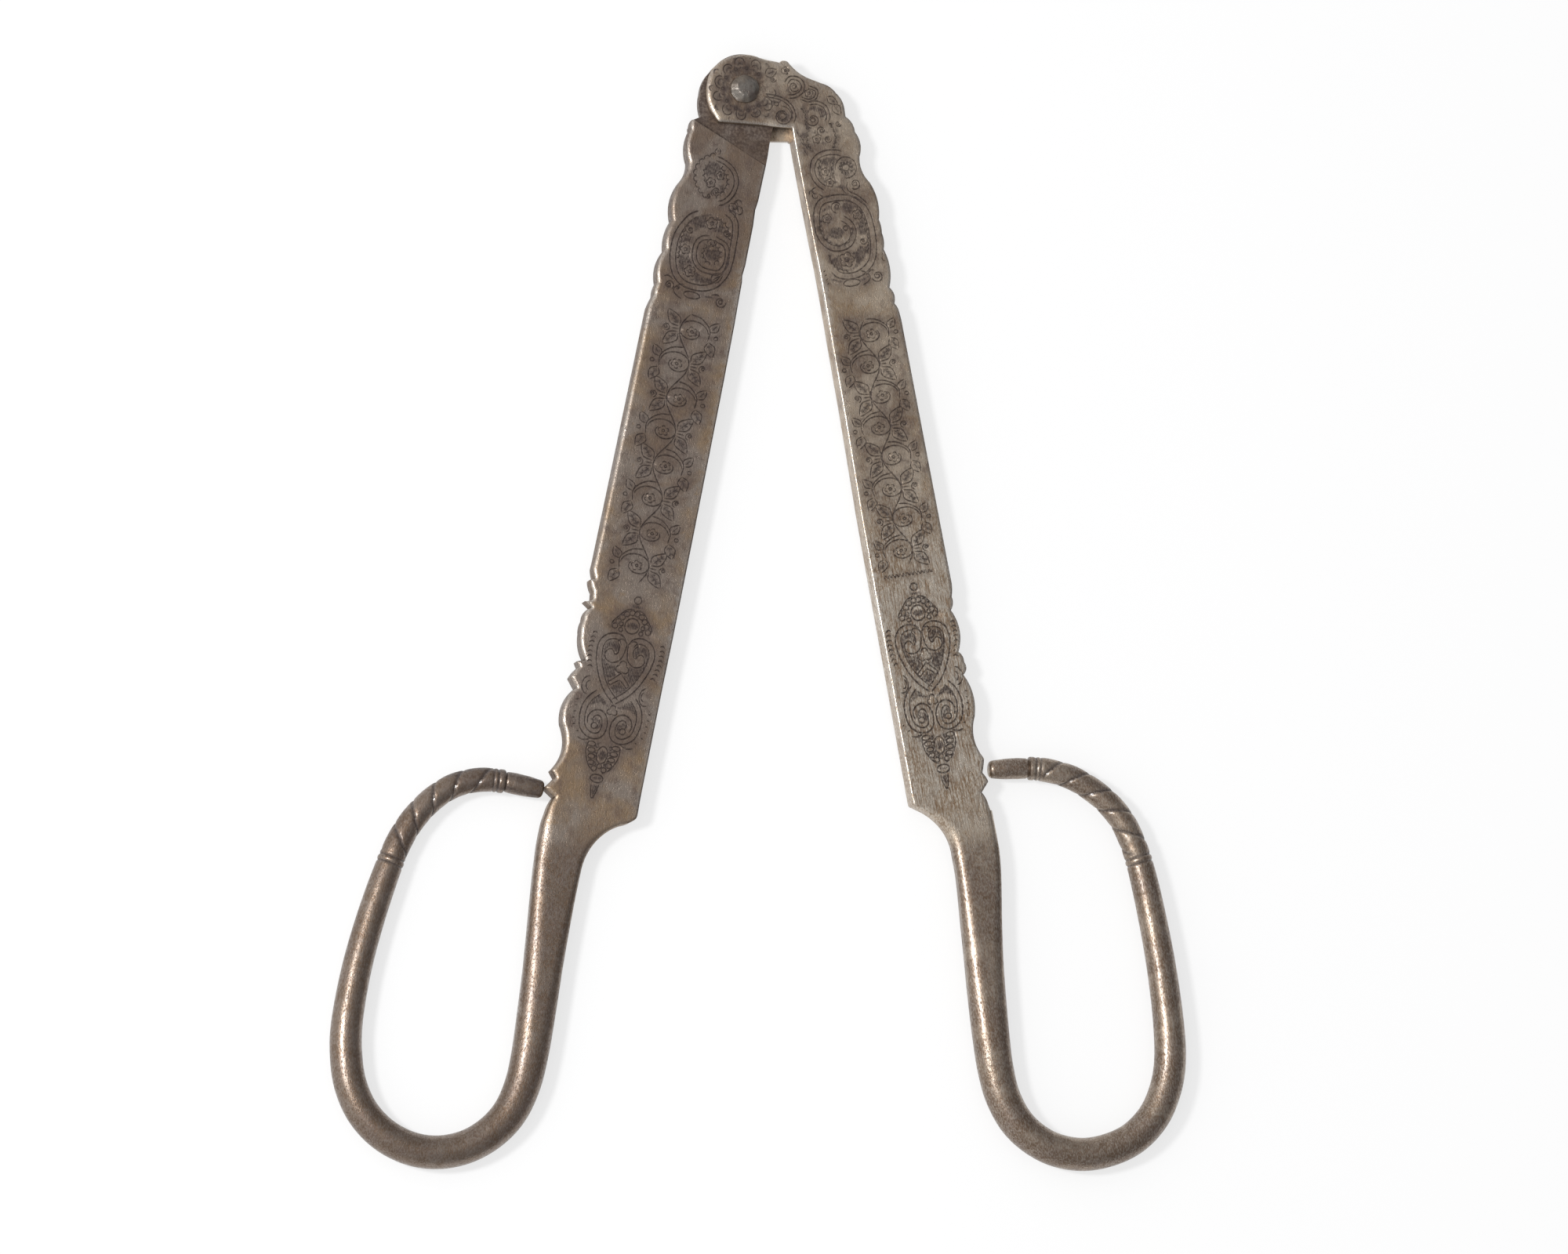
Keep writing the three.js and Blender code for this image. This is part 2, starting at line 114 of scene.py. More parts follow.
def place_in_scene(name, data):
    thing = bpy.data.objects.new(name, data)
    bpy.context.scene.collection.objects.link(thing)
    return thing


def add_camera():
    back = Vector((-math.sin(CAMERA_LEAN_LEFT), -math.sin(CAMERA_LEAN_LOW), 0))
    back.z = math.sqrt(1 - back.length_squared)
    right = Vector((0, 1, 0)).cross(back).normalized()
    turn = Matrix((right, back.cross(right), back)).transposed().to_4x4()
    camera = bpy.data.cameras.new("camera")
    camera.lens = CAMERA_LENS
    camera.sensor_width = CAMERA_SENSOR
    camera.clip_end = 20
    holder = place_in_scene("camera", camera)
    holder.matrix_world = Matrix.Translation(CAMERA_AIM + back * CAMERA_DISTANCE) @ turn
    bpy.context.scene.camera = holder


def add_window():
    lamp = bpy.data.lights.new("window", "AREA")
    lamp.shape = "DISK"
    lamp.size = WINDOW_SIZE
    lamp.energy = WINDOW_POWER
    holder = place_in_scene("window", lamp)
    holder.location = WINDOW_PLACE
    holder.rotation_euler = (TOOL_MIDDLE - WINDOW_PLACE).to_track_quat("-Z", "Y").to_euler()


# ---------------------------------------------------------------- shader wiring

class Wire:
    """One output of a material's nodes. Arithmetic on it adds Math nodes."""

    def __init__(self, tree, socket):
        self.tree = tree
        self.socket = socket

    def math(self, operation, *values):
        return add_node(self.tree, "Math", dict(enumerate(values)), operation=operation)

    def __add__(self, other):
        return self.math("ADD", self, other)

    __radd__ = __add__

    def __sub__(self, other):
        return self.math("SUBTRACT", self, other)

    def __rsub__(self, other):
        return self.math("SUBTRACT", other, self)

    def __mul__(self, other):
        return self.math("MULTIPLY", self, other)

    __rmul__ = __mul__

    def clamp(self):
        return add_node(self.tree, "Clamp", {"Value": self})

    def band(self, low, high):
        """0 below low, 1 above high, and smooth between them."""
        sockets = {"Value": self, "From Min": low, "From Max": high}
        return add_node(self.tree, "MapRange", sockets, interpolation_type="SMOOTHSTEP")


def add_node(tree, kind, sockets=None, output=0, **settings):
    """A new node with its settings, its sockets wired or set, and one output to go on with."""
    node = tree.nodes.new("ShaderNode" + kind)
    for name, value in settings.items():
        setattr(node, name, value)
    for name, value in (sockets or {}).items():
        socket = node.inputs[name]
        if isinstance(value, Wire):
            tree.links.new(value.socket, socket)
        elif isinstance(value, tuple) and len(value) == 3 and socket.type == "RGBA":
            socket.default_value = (*value, 1)
        else:
            socket.default_value = value
    return Wire(tree, node.outputs[output]) if node.outputs else None


def mix_colour(tree, share, first, second):
    return add_node(tree, "Mix", {0: share, 6: first, 7: second}, 2, data_type="RGBA")


def new_material(name):
    material = bpy.data.materials.new(name)
    material.use_nodes = True
    material.node_tree.nodes.clear()
    return material, material.node_tree


def srgb(red, green, blue):
    """A colour as it is seen, 0 to 255, as the shader's linear numbers."""
    def linear(value):
        value /= 255
        return value / 12.92 if value <= 0.04045 else ((value + 0.055) / 1.055) ** 2.4
    return linear(red), linear(green), linear(blue)


def pattern_place(tree, turn, stretch=(1, 1, 1), shift=(0, 0, 0)):
    """Object coordinates in millimetres, turned to run with an arm."""
    straight = add_node(tree, "Mapping", {
        "Vector": add_node(tree, "TexCoord", output=3),
        "Rotation": (0, 0, -turn), "Scale": (1 / MM, 1 / MM, 1 / MM),
    })
    return add_node(tree, "Mapping", {"Vector": straight, "Scale": stretch, "Location": shift})


def noise(tree, place, scale, detail=2.0, rough=0.5, twist=0.0):
    return add_node(tree, "TexNoise", {
        "Vector": place, "Scale": scale, "Detail": detail, "Roughness": rough, "Distortion": twist,
    })


def mask_from(tree, name):
    return add_node(tree, "Attribute", output=2, attribute_name=name)


# A thin film on the handled rods
COAT_ROUGHNESS = 0.27
COAT_IOR = 2.0

DARK_CLOUD = srgb(92, 74, 67)
YELLOW_CLOUD = srgb(152, 122, 84)
TARNISHED = srgb(98, 85, 81)
HANDLED = srgb(100, 78, 58)
RUST_STREAK = srgb(128, 98, 68)
WORN_EDGE = srgb(214, 210, 204)
PITTED = srgb(70, 57, 50)
# painted shade for the fork's recess, side walls and right-facing edges, and round the rivet with
# some grime
SHADE_AND_GRIME = srgb(62, 48, 44)
CUT_GROUND = srgb(46, 35, 35)
BUMP_STRENGTH = 0.9
BUMP_DEPTH = 0.00007


def old_steel(name, turn, grey, brown, rubbed, bright, shift=(0, 0, 0)):
    """Old forged steel: a blotched grey-brown patina, bright rubbed edges, dark cuts and painted
    shade.
    """
    material, tree = new_material(name)
    place = pattern_place(tree, turn, shift=shift)
    drawn = pattern_place(tree, turn, (3.2, 0.22, 3.2), shift)
    flecked = pattern_place(tree, turn, (3.7, 1.5, 3.7), shift)
    blotch = noise(tree, place, 0.085, 3, 0.6, 0.6)
    cloud = noise(tree, place, 0.33, 4, 0.62, 0.3)
    mottle = noise(tree, place, 1.5, 4, 0.65)
    grain = noise(tree, place, 5.5, 3, 0.6)
    streak = noise(tree, drawn, 1.0, 4, 0.62)
    fleck = noise(tree, flecked, 1.0, 3, 0.6)
    edge, polish, tarnish, painted_shade_and_grime = [
        mask_from(tree, mask) for mask in ("edge", "polish", "tarnish", "painted_shade_and_grime")
    ]
    cut = (mask_from(tree, "cut") * 1.5 + mask_from(tree, "groove") * 0.9).clamp()

    warm = blotch.band(0.38, 0.66)
    dark = cloud.band(0.48, 0.72)
    handled = tarnish.band(1.0, 1.5)
    light = (fleck.band(0.45, 0.62) * (0.08 + 0.92 * polish)
             + streak.band(0.5, 0.72) * (0.05 + 0.6 * polish)).clamp()
    pit = fleck.band(0.45, 0.3) * (0.5 + 0.5 * mottle.band(0.4, 0.6)) + grain.band(0.62, 0.75) * 0.4

    colour = grey
    for share, tint in (
        (polish * 0.6, rubbed),
        (warm * (0.9 - 0.15 * polish), brown),
        (dark * (0.6 - 0.4 * polish), DARK_CLOUD),
        (cloud.band(0.4, 0.24) * 0.5, YELLOW_CLOUD),
        (tarnish * (0.17 + 0.4 * blotch.band(0.4, 0.6) - 0.7 * polish).clamp(), TARNISHED),
        (handled * (0.45 + 0.35 * cloud.band(0.6, 0.4)), HANDLED),
        (light * 0.85, bright),
        (streak.band(0.54, 0.37) * polish * 0.75, RUST_STREAK),
        ((edge * (0.3 + 0.7 * fleck.band(0.3, 0.6))).clamp(), WORN_EDGE),
        ((pit * (0.6 + 0.12 * polish)).clamp(), PITTED),
        # painted shade darkens recesses, walls and right-facing edges, with some grime round the
        # rivet
        ((painted_shade_and_grime * (0.5 + mottle.band(0.35, 0.62))).clamp() * 0.75, SHADE_AND_GRIME),
        (cut * (0.52 + 0.33 * mottle.band(0.6, 0.4) + 0.08 * polish), CUT_GROUND),
    ):
        colour = mix_colour(tree, share, colour, tint)

    rough = 0.24 + 0.2 * mottle + 0.08 * warm - 0.08 * edge - 0.06 * light
    rough = (rough + cut * 0.3 + painted_shade_and_grime * 0.2 + pit * 0.15).clamp()
    metal = (0.97 - 0.2 * warm * dark - 0.5 * cut - 0.35 * painted_shade_and_grime - 0.2 * pit).clamp()
    height = cloud * 1.6 + mottle * 0.4 + fleck * 0.6 + grain * 0.08 + streak * 0.2 - pit * 0.3
    relief = {"Strength": BUMP_STRENGTH, "Distance": BUMP_DEPTH, "Height": height}
    bump = add_node(tree, "Bump", relief)
    shader = add_node(tree, "BsdfPrincipled", {
        "Base Color": colour, "Metallic": metal, "Roughness": rough, "Normal": bump,
        "Coat Weight": handled * (0.14 + 0.44 * fleck.band(0.36, 0.6)),
        "Coat Roughness": COAT_ROUGHNESS, "Coat IOR": COAT_IOR,
    })
    add_node(tree, "OutputMaterial", {"Surface": shader})
    return material


# ---------------------------------------------------------------- the table and the studio

DIM_SIDE = (0.29, 0.30, 0.32)
BRIGHT_SIDE = (0.97, 0.96, 0.95)
WHITE = (1.0, 1.0, 1.0)
TABLE_SIZE = 3.0
BACKDROP_SHARE = 0.68


def table_material():
    """A white table. To the camera, and in the metal, a share of it is plain white backdrop."""
    material, tree = new_material("pale_table")
    shader = add_node(tree, "BsdfPrincipled", {"Base Color": (0.96, 0.96, 0.96), "Roughness": 0.95})
    white = add_node(tree, "Emission", {"Color": WHITE, "Strength": 1.0})
    path = tree.nodes.new("ShaderNodeLightPath")
    rays = ("Is Camera Ray", "Is Glossy Ray", "Is Transmission Ray")
    seen = sum(Wire(tree, path.outputs[ray]) for ray in rays)
    share = (seen * BACKDROP_SHARE).clamp()
    surface = add_node(tree, "MixShader", {0: share, 1: shader, 2: white})
    add_node(tree, "OutputMaterial", {"Surface": surface})
    return material


def add_table():
    mesh = bpy.data.meshes.new("table")
    maker = bmesh.new()
    bmesh.ops.create_grid(maker, x_segments=1, y_segments=1, size=TABLE_SIZE)
    bmesh.ops.translate(maker, verts=maker.verts, vec=(0, 0, -TABLE_GAP))
    maker.to_mesh(mesh)
    maker.free()
    mesh.materials.append(table_material())
    table = place_in_scene("table", mesh)


def add_studio():
    """Soft light all round: dim from one side, bright from the other, and white to the camera."""
    world = bpy.data.worlds.new("studio")
    world.use_nodes = True
    tree = world.node_tree
    tree.nodes.clear()
    parts = tree.nodes.new("ShaderNodeSeparateXYZ")
    tree.links.new(add_node(tree, "TexCoord").socket, parts.inputs[0])
    x, y = [Wire(tree, parts.outputs[k]) for k in (0, 1)]
    colour = mix_colour(tree, (x * -0.96 + y * 0.1).band(-0.95, 0.95), DIM_SIDE, BRIGHT_SIDE)
    colour = mix_colour(tree, add_node(tree, "LightPath"), colour, WHITE)
    backdrop = add_node(tree, "Background", {"Color": colour, "Strength": 1.0})
    add_node(tree, "OutputWorld", {"Surface": backdrop})
    bpy.context.scene.world = world
    bpy.context.scene.view_settings.view_transform = "Standard"


# ---------------------------------------------------------------- lines on an arm

def left_of(run):
    """A direction, or each row of many, turned a quarter to the left."""
    run = np.asarray(run)
    return np.stack([-run[..., 1], run[..., 0]], -1)


def unit(run):
    return run / np.linalg.norm(run, axis=-1, keepdims=True)


def line_length(points):
    """How far along a line each of its points lies."""
    return np.concatenate([[0], np.cumsum(np.linalg.norm(np.diff(points, axis=0), axis=1))])


def resample(points, step):
    points = np.asarray(points, float)
    run = line_length(points)
    count = max(2, int(math.ceil(run[-1] / step)) + 1)
    at = np.linspace(0, run[-1], count)
    return np.column_stack([np.interp(at, run, points[:, k]) for k in range(points.shape[1])])


def smooth_line(points, fine=12):
    """A flowing line through the points, as a centripetal spline."""
    points = np.asarray(points, float)
    first = 2 * points[0] - points[1]
    last = 2 * points[-1] - points[-2]
    row = np.vstack([first, points, last])
    out = []
    share = np.linspace(0, 1, fine, endpoint=False)[:, None]
    for k in range(1, len(row) - 2):
        p0, p1, p2, p3 = row[k - 1:k + 3]
        pairs = ((p0, p1), (p1, p2), (p2, p3))
        t0, t1, t2 = [max(np.linalg.norm(b - a) ** 0.5, 1e-6) for a, b in pairs]
        slope1 = ((p1 - p0) / t0 - (p2 - p0) / (t0 + t1) + (p2 - p1) / t1) * t1
        slope2 = ((p2 - p1) / t1 - (p3 - p1) / (t1 + t2) + (p3 - p2) / t2) * t1
        c2 = -3 * p1 + 3 * p2 - 2 * slope1 - slope2
        c3 = 2 * p1 - 2 * p2 + slope1 + slope2
        out.append(p1 + slope1 * share + c2 * share ** 2 + c3 * share ** 3)
    return np.vstack([*out, points[-1:]])


def chain(corners, step=0.3):
    """Corners (along, out, rise) joined by straight lines, or by arcs that swell by rise."""
    points = []
    for index, (along, out, rise) in enumerate(corners):
        end = np.array([along, out], float)
        if index:
            start = points[-1]
            chord = end - start
            count = max(1, int(math.ceil(np.linalg.norm(chord) / step)))
            for k in range(1, count):
                share = k / count
                swell = 4 * rise * share * (1 - share)
                points.append(start + chord * share + left_of(chord) * swell)
        points.append(end)
    return np.array(points)


def between(rows, share):
    """The value at a share of the way, read between the rows of a two-column table."""
    rows = np.asarray(rows, float)
    return np.interp(share, rows[:, 0], rows[:, 1])


def on_arm(points, arm):
    """(along, out) to the arm's own x and y."""
    points = np.asarray(points, float)
    return np.column_stack([arm["side"] * points[:, 1], -points[:, 0]])


# ---------------------------------------------------------------- outlines

# The outlines' corners: shares down the arm and outwards of the size they follow, and how far the
# run up to each corner swells. Worn jaws have a share down the arm and a depth of wear.
EAR_SHARES = [(0.366, 1.142, 0.1), (0.876, 1.041, 0.06), (0.976, 0.99, 0)]
EAR_END = math.radians(158)
LEFT_WEAR_SHARES = [(0.97, 0.6), (0.82, 0.45), (0.75, 0.15), (0.6, 0), (0.4, 0), (0.32, 0.2),
    (0.285, 0.45), (0.259, 0.6), (0.25, 1.05), (0.235, 0.6), (0.18, 0.6), (0.158, 1.05),
    (0.145, 0.5), (0.11, 0.3), (0.08, 0)]
SHOULDER_INSIDE = REAR_FORK_DROP + SHOULDER_CLEARANCE
SHOULDER_SLOPE = 0.365
SHOULDER_CORNER_SHARE = 0.88
LEFT_EDGE_SHARES = [(0.015, 0.876, 0.1), (0.061, 0.832, 0.1), (0.091, 0.875, -0.1),
    (0.149, 0.882, 0.11), (0.193, 0.895, 0.08), (0.242, 0.911, 0.11), (0.261, 0.92, 0.06),
    (0.28, 0.955, 0.02), (0.34, 0.96, 0), (0.53, 0.975, 0), (0.65, 0.986, 0), (0.664, 0.99, 0),
    (0.678, 0.95, 0.03), (0.681, 0.995, 0), (0.697, 0.94, 0.06), (0.7075, 0.93, 0),
    (0.7125, 1.005, -0.1), (0.719, 0.93, 0), (0.739, 0.982, 0.13), (0.758, 0.985, 0.07),
    (0.794, 0.882, 0.08), (0.799, 0.965, 0), (0.806, 0.93, 0), (0.823, 1, 0.05), (0.836, 0.918, 0),
    (0.89, 0.99, 0.13), (0.958, 1.005, -0.165), (0.967, 0.948, 0), (0.984, 1.04, -0.03),
    (0.994, 0.918, 0)]
LEFT_NECK_IN = [(0.143, 0.156, -0.13), (0.02, 0.03, 0.05), (-0.07, 0.01, 0.1)]
LEFT_NECK_OUT = [(0.214, 0.97, 0.05), (0.5, 0.99, 0.03)]

CHEEK_SHARES = [(0.76, -0.82, 0), (0.59, -0.91, 0.04), (0.36, -0.993, 0.03), (-0.09, -1.005, 0.06),
    (-0.67, -0.722, 0.083), (-0.938, 0, 0.1), (-0.784, 0.574, 0.077)]
HEAD_SHARES = [(-0.241, 0.388, -0.01), (-0.225, 0.416, 0), (-0.241, 0.468, 0.15),
    (-0.203, 0.517, 0.15), (-0.149, 0.554, 0), (-0.022, 0.695, -0.05), (0.049, 0.822, 0),
    (0.171, 0.955, 0.09), (0.336, 1.014, 0.09), (0.425, 1.011, 0)]
RIGHT_WEAR_SHARES = [(0.97, 0.4), (0.8, 0.3), (0.7, 0.1), (0.6, 0.1), (0.53, 0.4), (0.45, 0.7),
    (0.36, 0.75), (0.3, 0.9), (0.26, 0.85), (0.22, 0.5), (0.16, 0.2), (0.11, 0)]
RIGHT_EDGE_SHARES = [(0.024, 0.798, 0.12), (0.061, 0.8, 0.13), (0.1, 0.87, -0.11),
    (0.156, 0.904, 0.09), (0.176, 0.912, 0.05), (0.2, 0.898, 0.07), (0.256, 0.885, 0.09),
    (0.28, 0.912, 0.15), (0.29, 0.949, 0.05), (0.317, 0.963, 0.02), (0.686, 1.003, 0),
    (0.714, 0.974, 0.05), (0.733, 0.934, 0.12), (0.794, 0.937, 0.12), (0.81, 0.985, 0.12),
    (0.828, 0.947, 0.2), (0.89, 0.995, 0.1), (0.952, 1.018, -0.13), (0.972, 0.965, 0.02),
    (0.986, 1.02, 0.05), (1, 0.915, 0)]
RIGHT_NECK_IN = [(0.164, 0.157, -0.12), (0.057, 0.046, 0), (0, 0.01, 0.15)]
RIGHT_NECK_OUT = [(0.214, 0.972, 0.06), (0.5, 0.998, 0.03)]


def blade_place(arm, along_share, out_share, rise, start):
    along = start + along_share * (arm["blade"] - start)
    return along, arm["inner"] + out_share * arm["width"], rise


def neck_sides(arm, inner_rows, outer_rows):
    def place(row):
        return arm["blade"] + row[0] * arm["neck"], arm["inner"] + row[1] * arm["width"], row[2]
    end = arm["blade"] + arm["neck"]
    half = NECK_WIDTH / 2
    inner_side = [(end, arm["middle"] - half, 0), *map(place, inner_rows)]
    outer_side = [*map(place, outer_rows), (end, arm["middle"] + half, 0.02)]
    return inner_side, outer_side


def worn_edge(arm, rows):
    return [(share * arm["blade"], arm["inner"] + wear * EDGE_WEAR, 0) for share, wear in rows]


def left_outline():
    inner_side, outer_side = neck_sides(LEFT, LEFT_NECK_IN, LEFT_NECK_OUT)
    radius = -LEFT_INNER * EAR_TRIM
    ear = [(-radius * math.sin(a), -radius * math.cos(a), 0) for a in np.linspace(0, EAR_END, 72)]
    corner_out = LEFT_INNER + SHOULDER_CORNER_SHARE * LEFT_BLADE_WIDTH
    corner_along = SHOULDER_INSIDE - SHOULDER_SLOPE * (corner_out - LEFT_INNER)
    return chain([
        *inner_side,
        *worn_edge(LEFT, LEFT_WEAR_SHARES),
        *ear,
        *[(a * radius, o * radius, r) for a, o, r in EAR_SHARES],
        (corner_along, corner_out, 0),
        *[blade_place(LEFT, *row, corner_along) for row in LEFT_EDGE_SHARES],
        *outer_side,
    ])


def right_outline():
    inner_side, outer_side = neck_sides(RIGHT, RIGHT_NECK_IN, RIGHT_NECK_OUT)
    head = [(a * HEAD_REACH, o * HEAD_REACH, r) for a, o, r in HEAD_SHARES]
    return chain([
        *inner_side,
        *worn_edge(RIGHT, RIGHT_WEAR_SHARES),
        (FRONT_FORK_DROP, RIGHT_INNER, 0),
        *[(a * CHEEK_RADIUS, o * CHEEK_RADIUS, r) for a, o, r in CHEEK_SHARES],
        *head,
        *[blade_place(RIGHT, *row, head[-1][0]) for row in RIGHT_EDGE_SHARES],
        *outer_side,
    ])


# ---------------------------------------------------------------- engraving

# Half widths of a plain and a fine cut, and the half width from which a cut is also on the rear
LINE = 0.19
FINE = 0.115
BOLD_FROM = 0.18
# How far dark grime spreads beside bold and fine cuts, in half widths, and tarnish in millimetres
STAIN_SPREAD = 1.4
HATCH_SPREAD = 2.6
TARNISH_REACH = 1.9
CUT_STEEPNESS = 0.85
HATCH_PITCH = 0.34
VINE_SPREAD = 1.16


def stroke(points, half=LINE, smooth=True, taper=0.7):
    """One cut. This and every shape below is a list of cuts."""
    flowing = smooth and len(points) > 2
    line = smooth_line(points) if flowing else np.asarray(points, float)
    return [dict(points=line, half=half, taper=taper)]


def fine_stroke(points, taper=0.3):
    return stroke(points, FINE, False, taper)


def turned(centre, radius, start, sweep, close=1.0):
    """An arc, or a spiral where close is the share of the radius left at its end. It starts at an
    angle in degrees from outwards, and a positive sweep goes down the arm first."""
    reach = np.broadcast_to(np.asarray(radius, float), 2)
    count = max(8, int(abs(sweep) / 14))
    angle = np.radians(start + np.linspace(0, sweep, count))
    shrink = np.linspace(1, close, count)
    return np.column_stack([
        centre[0] + reach[0] * shrink * np.sin(angle),
        centre[1] + reach[1] * shrink * np.cos(angle),
    ])


def circle(centre, radius):
    return turned(centre, radius, 0, 345)


def loop_cut(loop, half=LINE):
    return [dict(points=np.vstack([loop, loop[:1]]), half=half, taper=0)]


def ring(centre, radius, half=LINE):
    return loop_cut(circle(centre, radius), half)


def arc(centre, radius, start, sweep, half=LINE):
    return stroke(turned(centre, radius, start, sweep), half, False)


def curl(centre, radius, start, sweep, ball=0.32):
    """A line that winds in to a small ball."""
    winding = turned(centre, radius, start, sweep, ball * 1.1)
    return stroke(winding, LINE, False) + ring(centre, radius * ball)


def petals(centre, angles, reach, radius, half_sweep):
    """Arcs round a centre that open towards it."""
    rows = []
    for angle in angles:
        a = math.radians(angle)
        middle = (centre[0] + reach * math.sin(a), centre[1] + reach * math.cos(a))
        rows += arc(middle, radius, angle - half_sweep, 2 * half_sweep)
    return rows


def ribbon(points, width):
    """A plain band between two cut lines, to the left of the line's run where width is positive."""
    line = smooth_line(points)
    across = left_of(unit(np.gradient(line, axis=0)))
    return stroke(line, LINE * 1.1, False) + stroke(line + across * width, LINE, False)


def frond(points, count, size):
    """A row of curled lobes along a line, each with its own vein. A positive size lays them to the
    left of the line's run."""
    line = resample(smooth_line(points), 0.05)
    marks = line[np.linspace(0, len(line) - 1, count + 1).astype(int)]
    lobes, veins = [], []
    for start, end in zip(marks, marks[1:]):
        run = end - start
        swell = left_of(unit(run)) * size
        lobes += stroke([start, start + run * 0.2 + swell, start + run * 0.8 + swell, end],
                        LINE * 0.9, True, 0.3)
        veins += fine_stroke([start + run * 0.1, start + run * 0.62 + swell * 0.7])
    return lobes + veins


def beads(points, count, radius):
    """A row of separate small balls along a line."""
    line = resample(smooth_line(points), 0.05)
    rows = []
    for k in range(count):
        rows += ring(line[int(k * (len(line) - 1) / (count - 1))], radius)
    return rows


def heavier(rows, weight):
    """The same lines, cut wider."""
    for row in rows:
        row["half"] *= weight
    return rows


def within(points, loop):
    """True for the points inside a closed line."""
    after = np.roll(loop, -1, axis=0)
    above = (loop[:, 1] > points[:, 1, None]) != (after[:, 1] > points[:, 1, None])
    rise = np.where(after[:, 1] == loop[:, 1], 1e-9, after[:, 1] - loop[:, 1])
    cross = loop[:, 0] + (points[:, 1, None] - loop[:, 1]) * (after[:, 0] - loop[:, 0]) / rise
    return (above & (points[:, 0, None] < cross)).sum(1) % 2 == 1


def hatch(edge, clear=(), pitch=HATCH_PITCH):
    """Fine cuts down the arm that fill a closed edge and leave the clear shapes plain."""
    loop = smooth_line([*edge, edge[0]])
    rows = []
    for out in np.arange(loop[:, 1].min() + pitch * 0.6, loop[:, 1].max(), pitch):
        along = np.arange(loop[:, 0].min(), loop[:, 0].max(), 0.1)
        line = np.column_stack([along, np.full(len(along), out)])
        keep = within(line, loop)
        for shape in clear:
            keep &= ~within(line, shape)
        for run in np.split(np.arange(len(line)), np.where(np.diff(keep.astype(int)))[0] + 1):
            if keep[run[0]] and len(run) > 5:
                rows += stroke(line[[run[0], run[-1]]], FINE, False, 0.4)
    return rows


def leaf(root, tip, bulge, veins=3):
    """A pointed leaf with a middle vein."""
    root, tip = np.array(root, float), np.array(tip, float)
    run = tip - root
    rows = fine_stroke([root + run * 0.1, root + run * 0.85], 0.4)
    for side in (-1, 1):
        swell = left_of(run) * bulge * side
        rows += stroke([root, root + run * 0.35 + swell, root + run * 0.75 + swell * 0.6, tip])
        for at in np.linspace(0.2, 0.62, veins):
            rows += fine_stroke([root + run * at, root + run * (at + 0.16) + swell * 0.62])
    return rows


def floret(centre, size, clear):
    """A small round flower. It is kept clear of hatching."""
    clear.append(circle(centre, size * 1.1))
    heart = ring(centre, size * 0.3, FINE)
    return heart + petals(centre, range(0, 360, 72), size * 0.6, size * 0.42, 125)


def trefoil(centre, size, clear):
    clear.append(circle(centre, size * 1.15))
    return petals(centre, (-90, 30, 150), size * 0.55, size * 0.56, 130)


def vine(start, end, middle, swing, waves, flip):
    """A running vine across the blade: each bend holds a scroll round a flower, with leaves."""
    at = np.linspace(start, end, 24 * waves)
    stem = middle + flip * swing * np.sin((at - start) / (end - start) * waves * 2 * math.pi)
    rows = stroke(np.column_stack([at, stem]), LINE * 1.2, False, 1.5)
    bend = (end - start) / waves / 2
    for k in range(2 * waves):
        side = flip * (1 if k % 2 == 0 else -1)
        along = start + bend * (k + 0.5)
        hub = (along, middle - side * 0.9)
        scroll = turned(hub, (3.0, 3.4), 0 if side < 0 else 180, side * 400, 0.4)
        crest = middle + side * swing
        foot = middle - side * 4.5
        shoot = [(-0.5, 0), (-0.44, 2.3), (-0.16, 4.4), (0.2, 4.3)]
        rows += [
            *stroke([(along + bend * a, middle - side * o) for a, o in shoot], LINE * 1.1),
            *stroke(scroll, LINE * 1.1, False),
            *petals(hub, range(20 * k, 20 * k + 360, 72), 0.72, 0.42, 120),
            *ring(hub, 0.3),
            *leaf((along - 0.6, crest + side * 0.2), (along - 4.2, crest + side * 3.1), 0.26),
            *leaf((along + 0.6, crest + side * 0.2), (along + 4.2, crest + side * 3.0), 0.26),
            *curl((along, crest + side * 2.9), 0.95, 90, side * 330),
            *stroke([(along, crest), (along, crest + side * 1.9)], LINE, False, 0.3),
            *leaf((along + bend * 0.2, foot), (along + bend * 0.62, foot - side * 1.3), 0.3, 2),
            *leaf((along - bend * 0.1, foot), (along - bend * 0.42, foot - side * 1.6), 0.3, 2),
            *ring((along + bend * 0.04, foot - side * 1.4), 0.42),
        ]
    for row in rows:
        row["points"][:, 1] = middle + (row["points"][:, 1] - middle) * VINE_SPREAD
    return rows


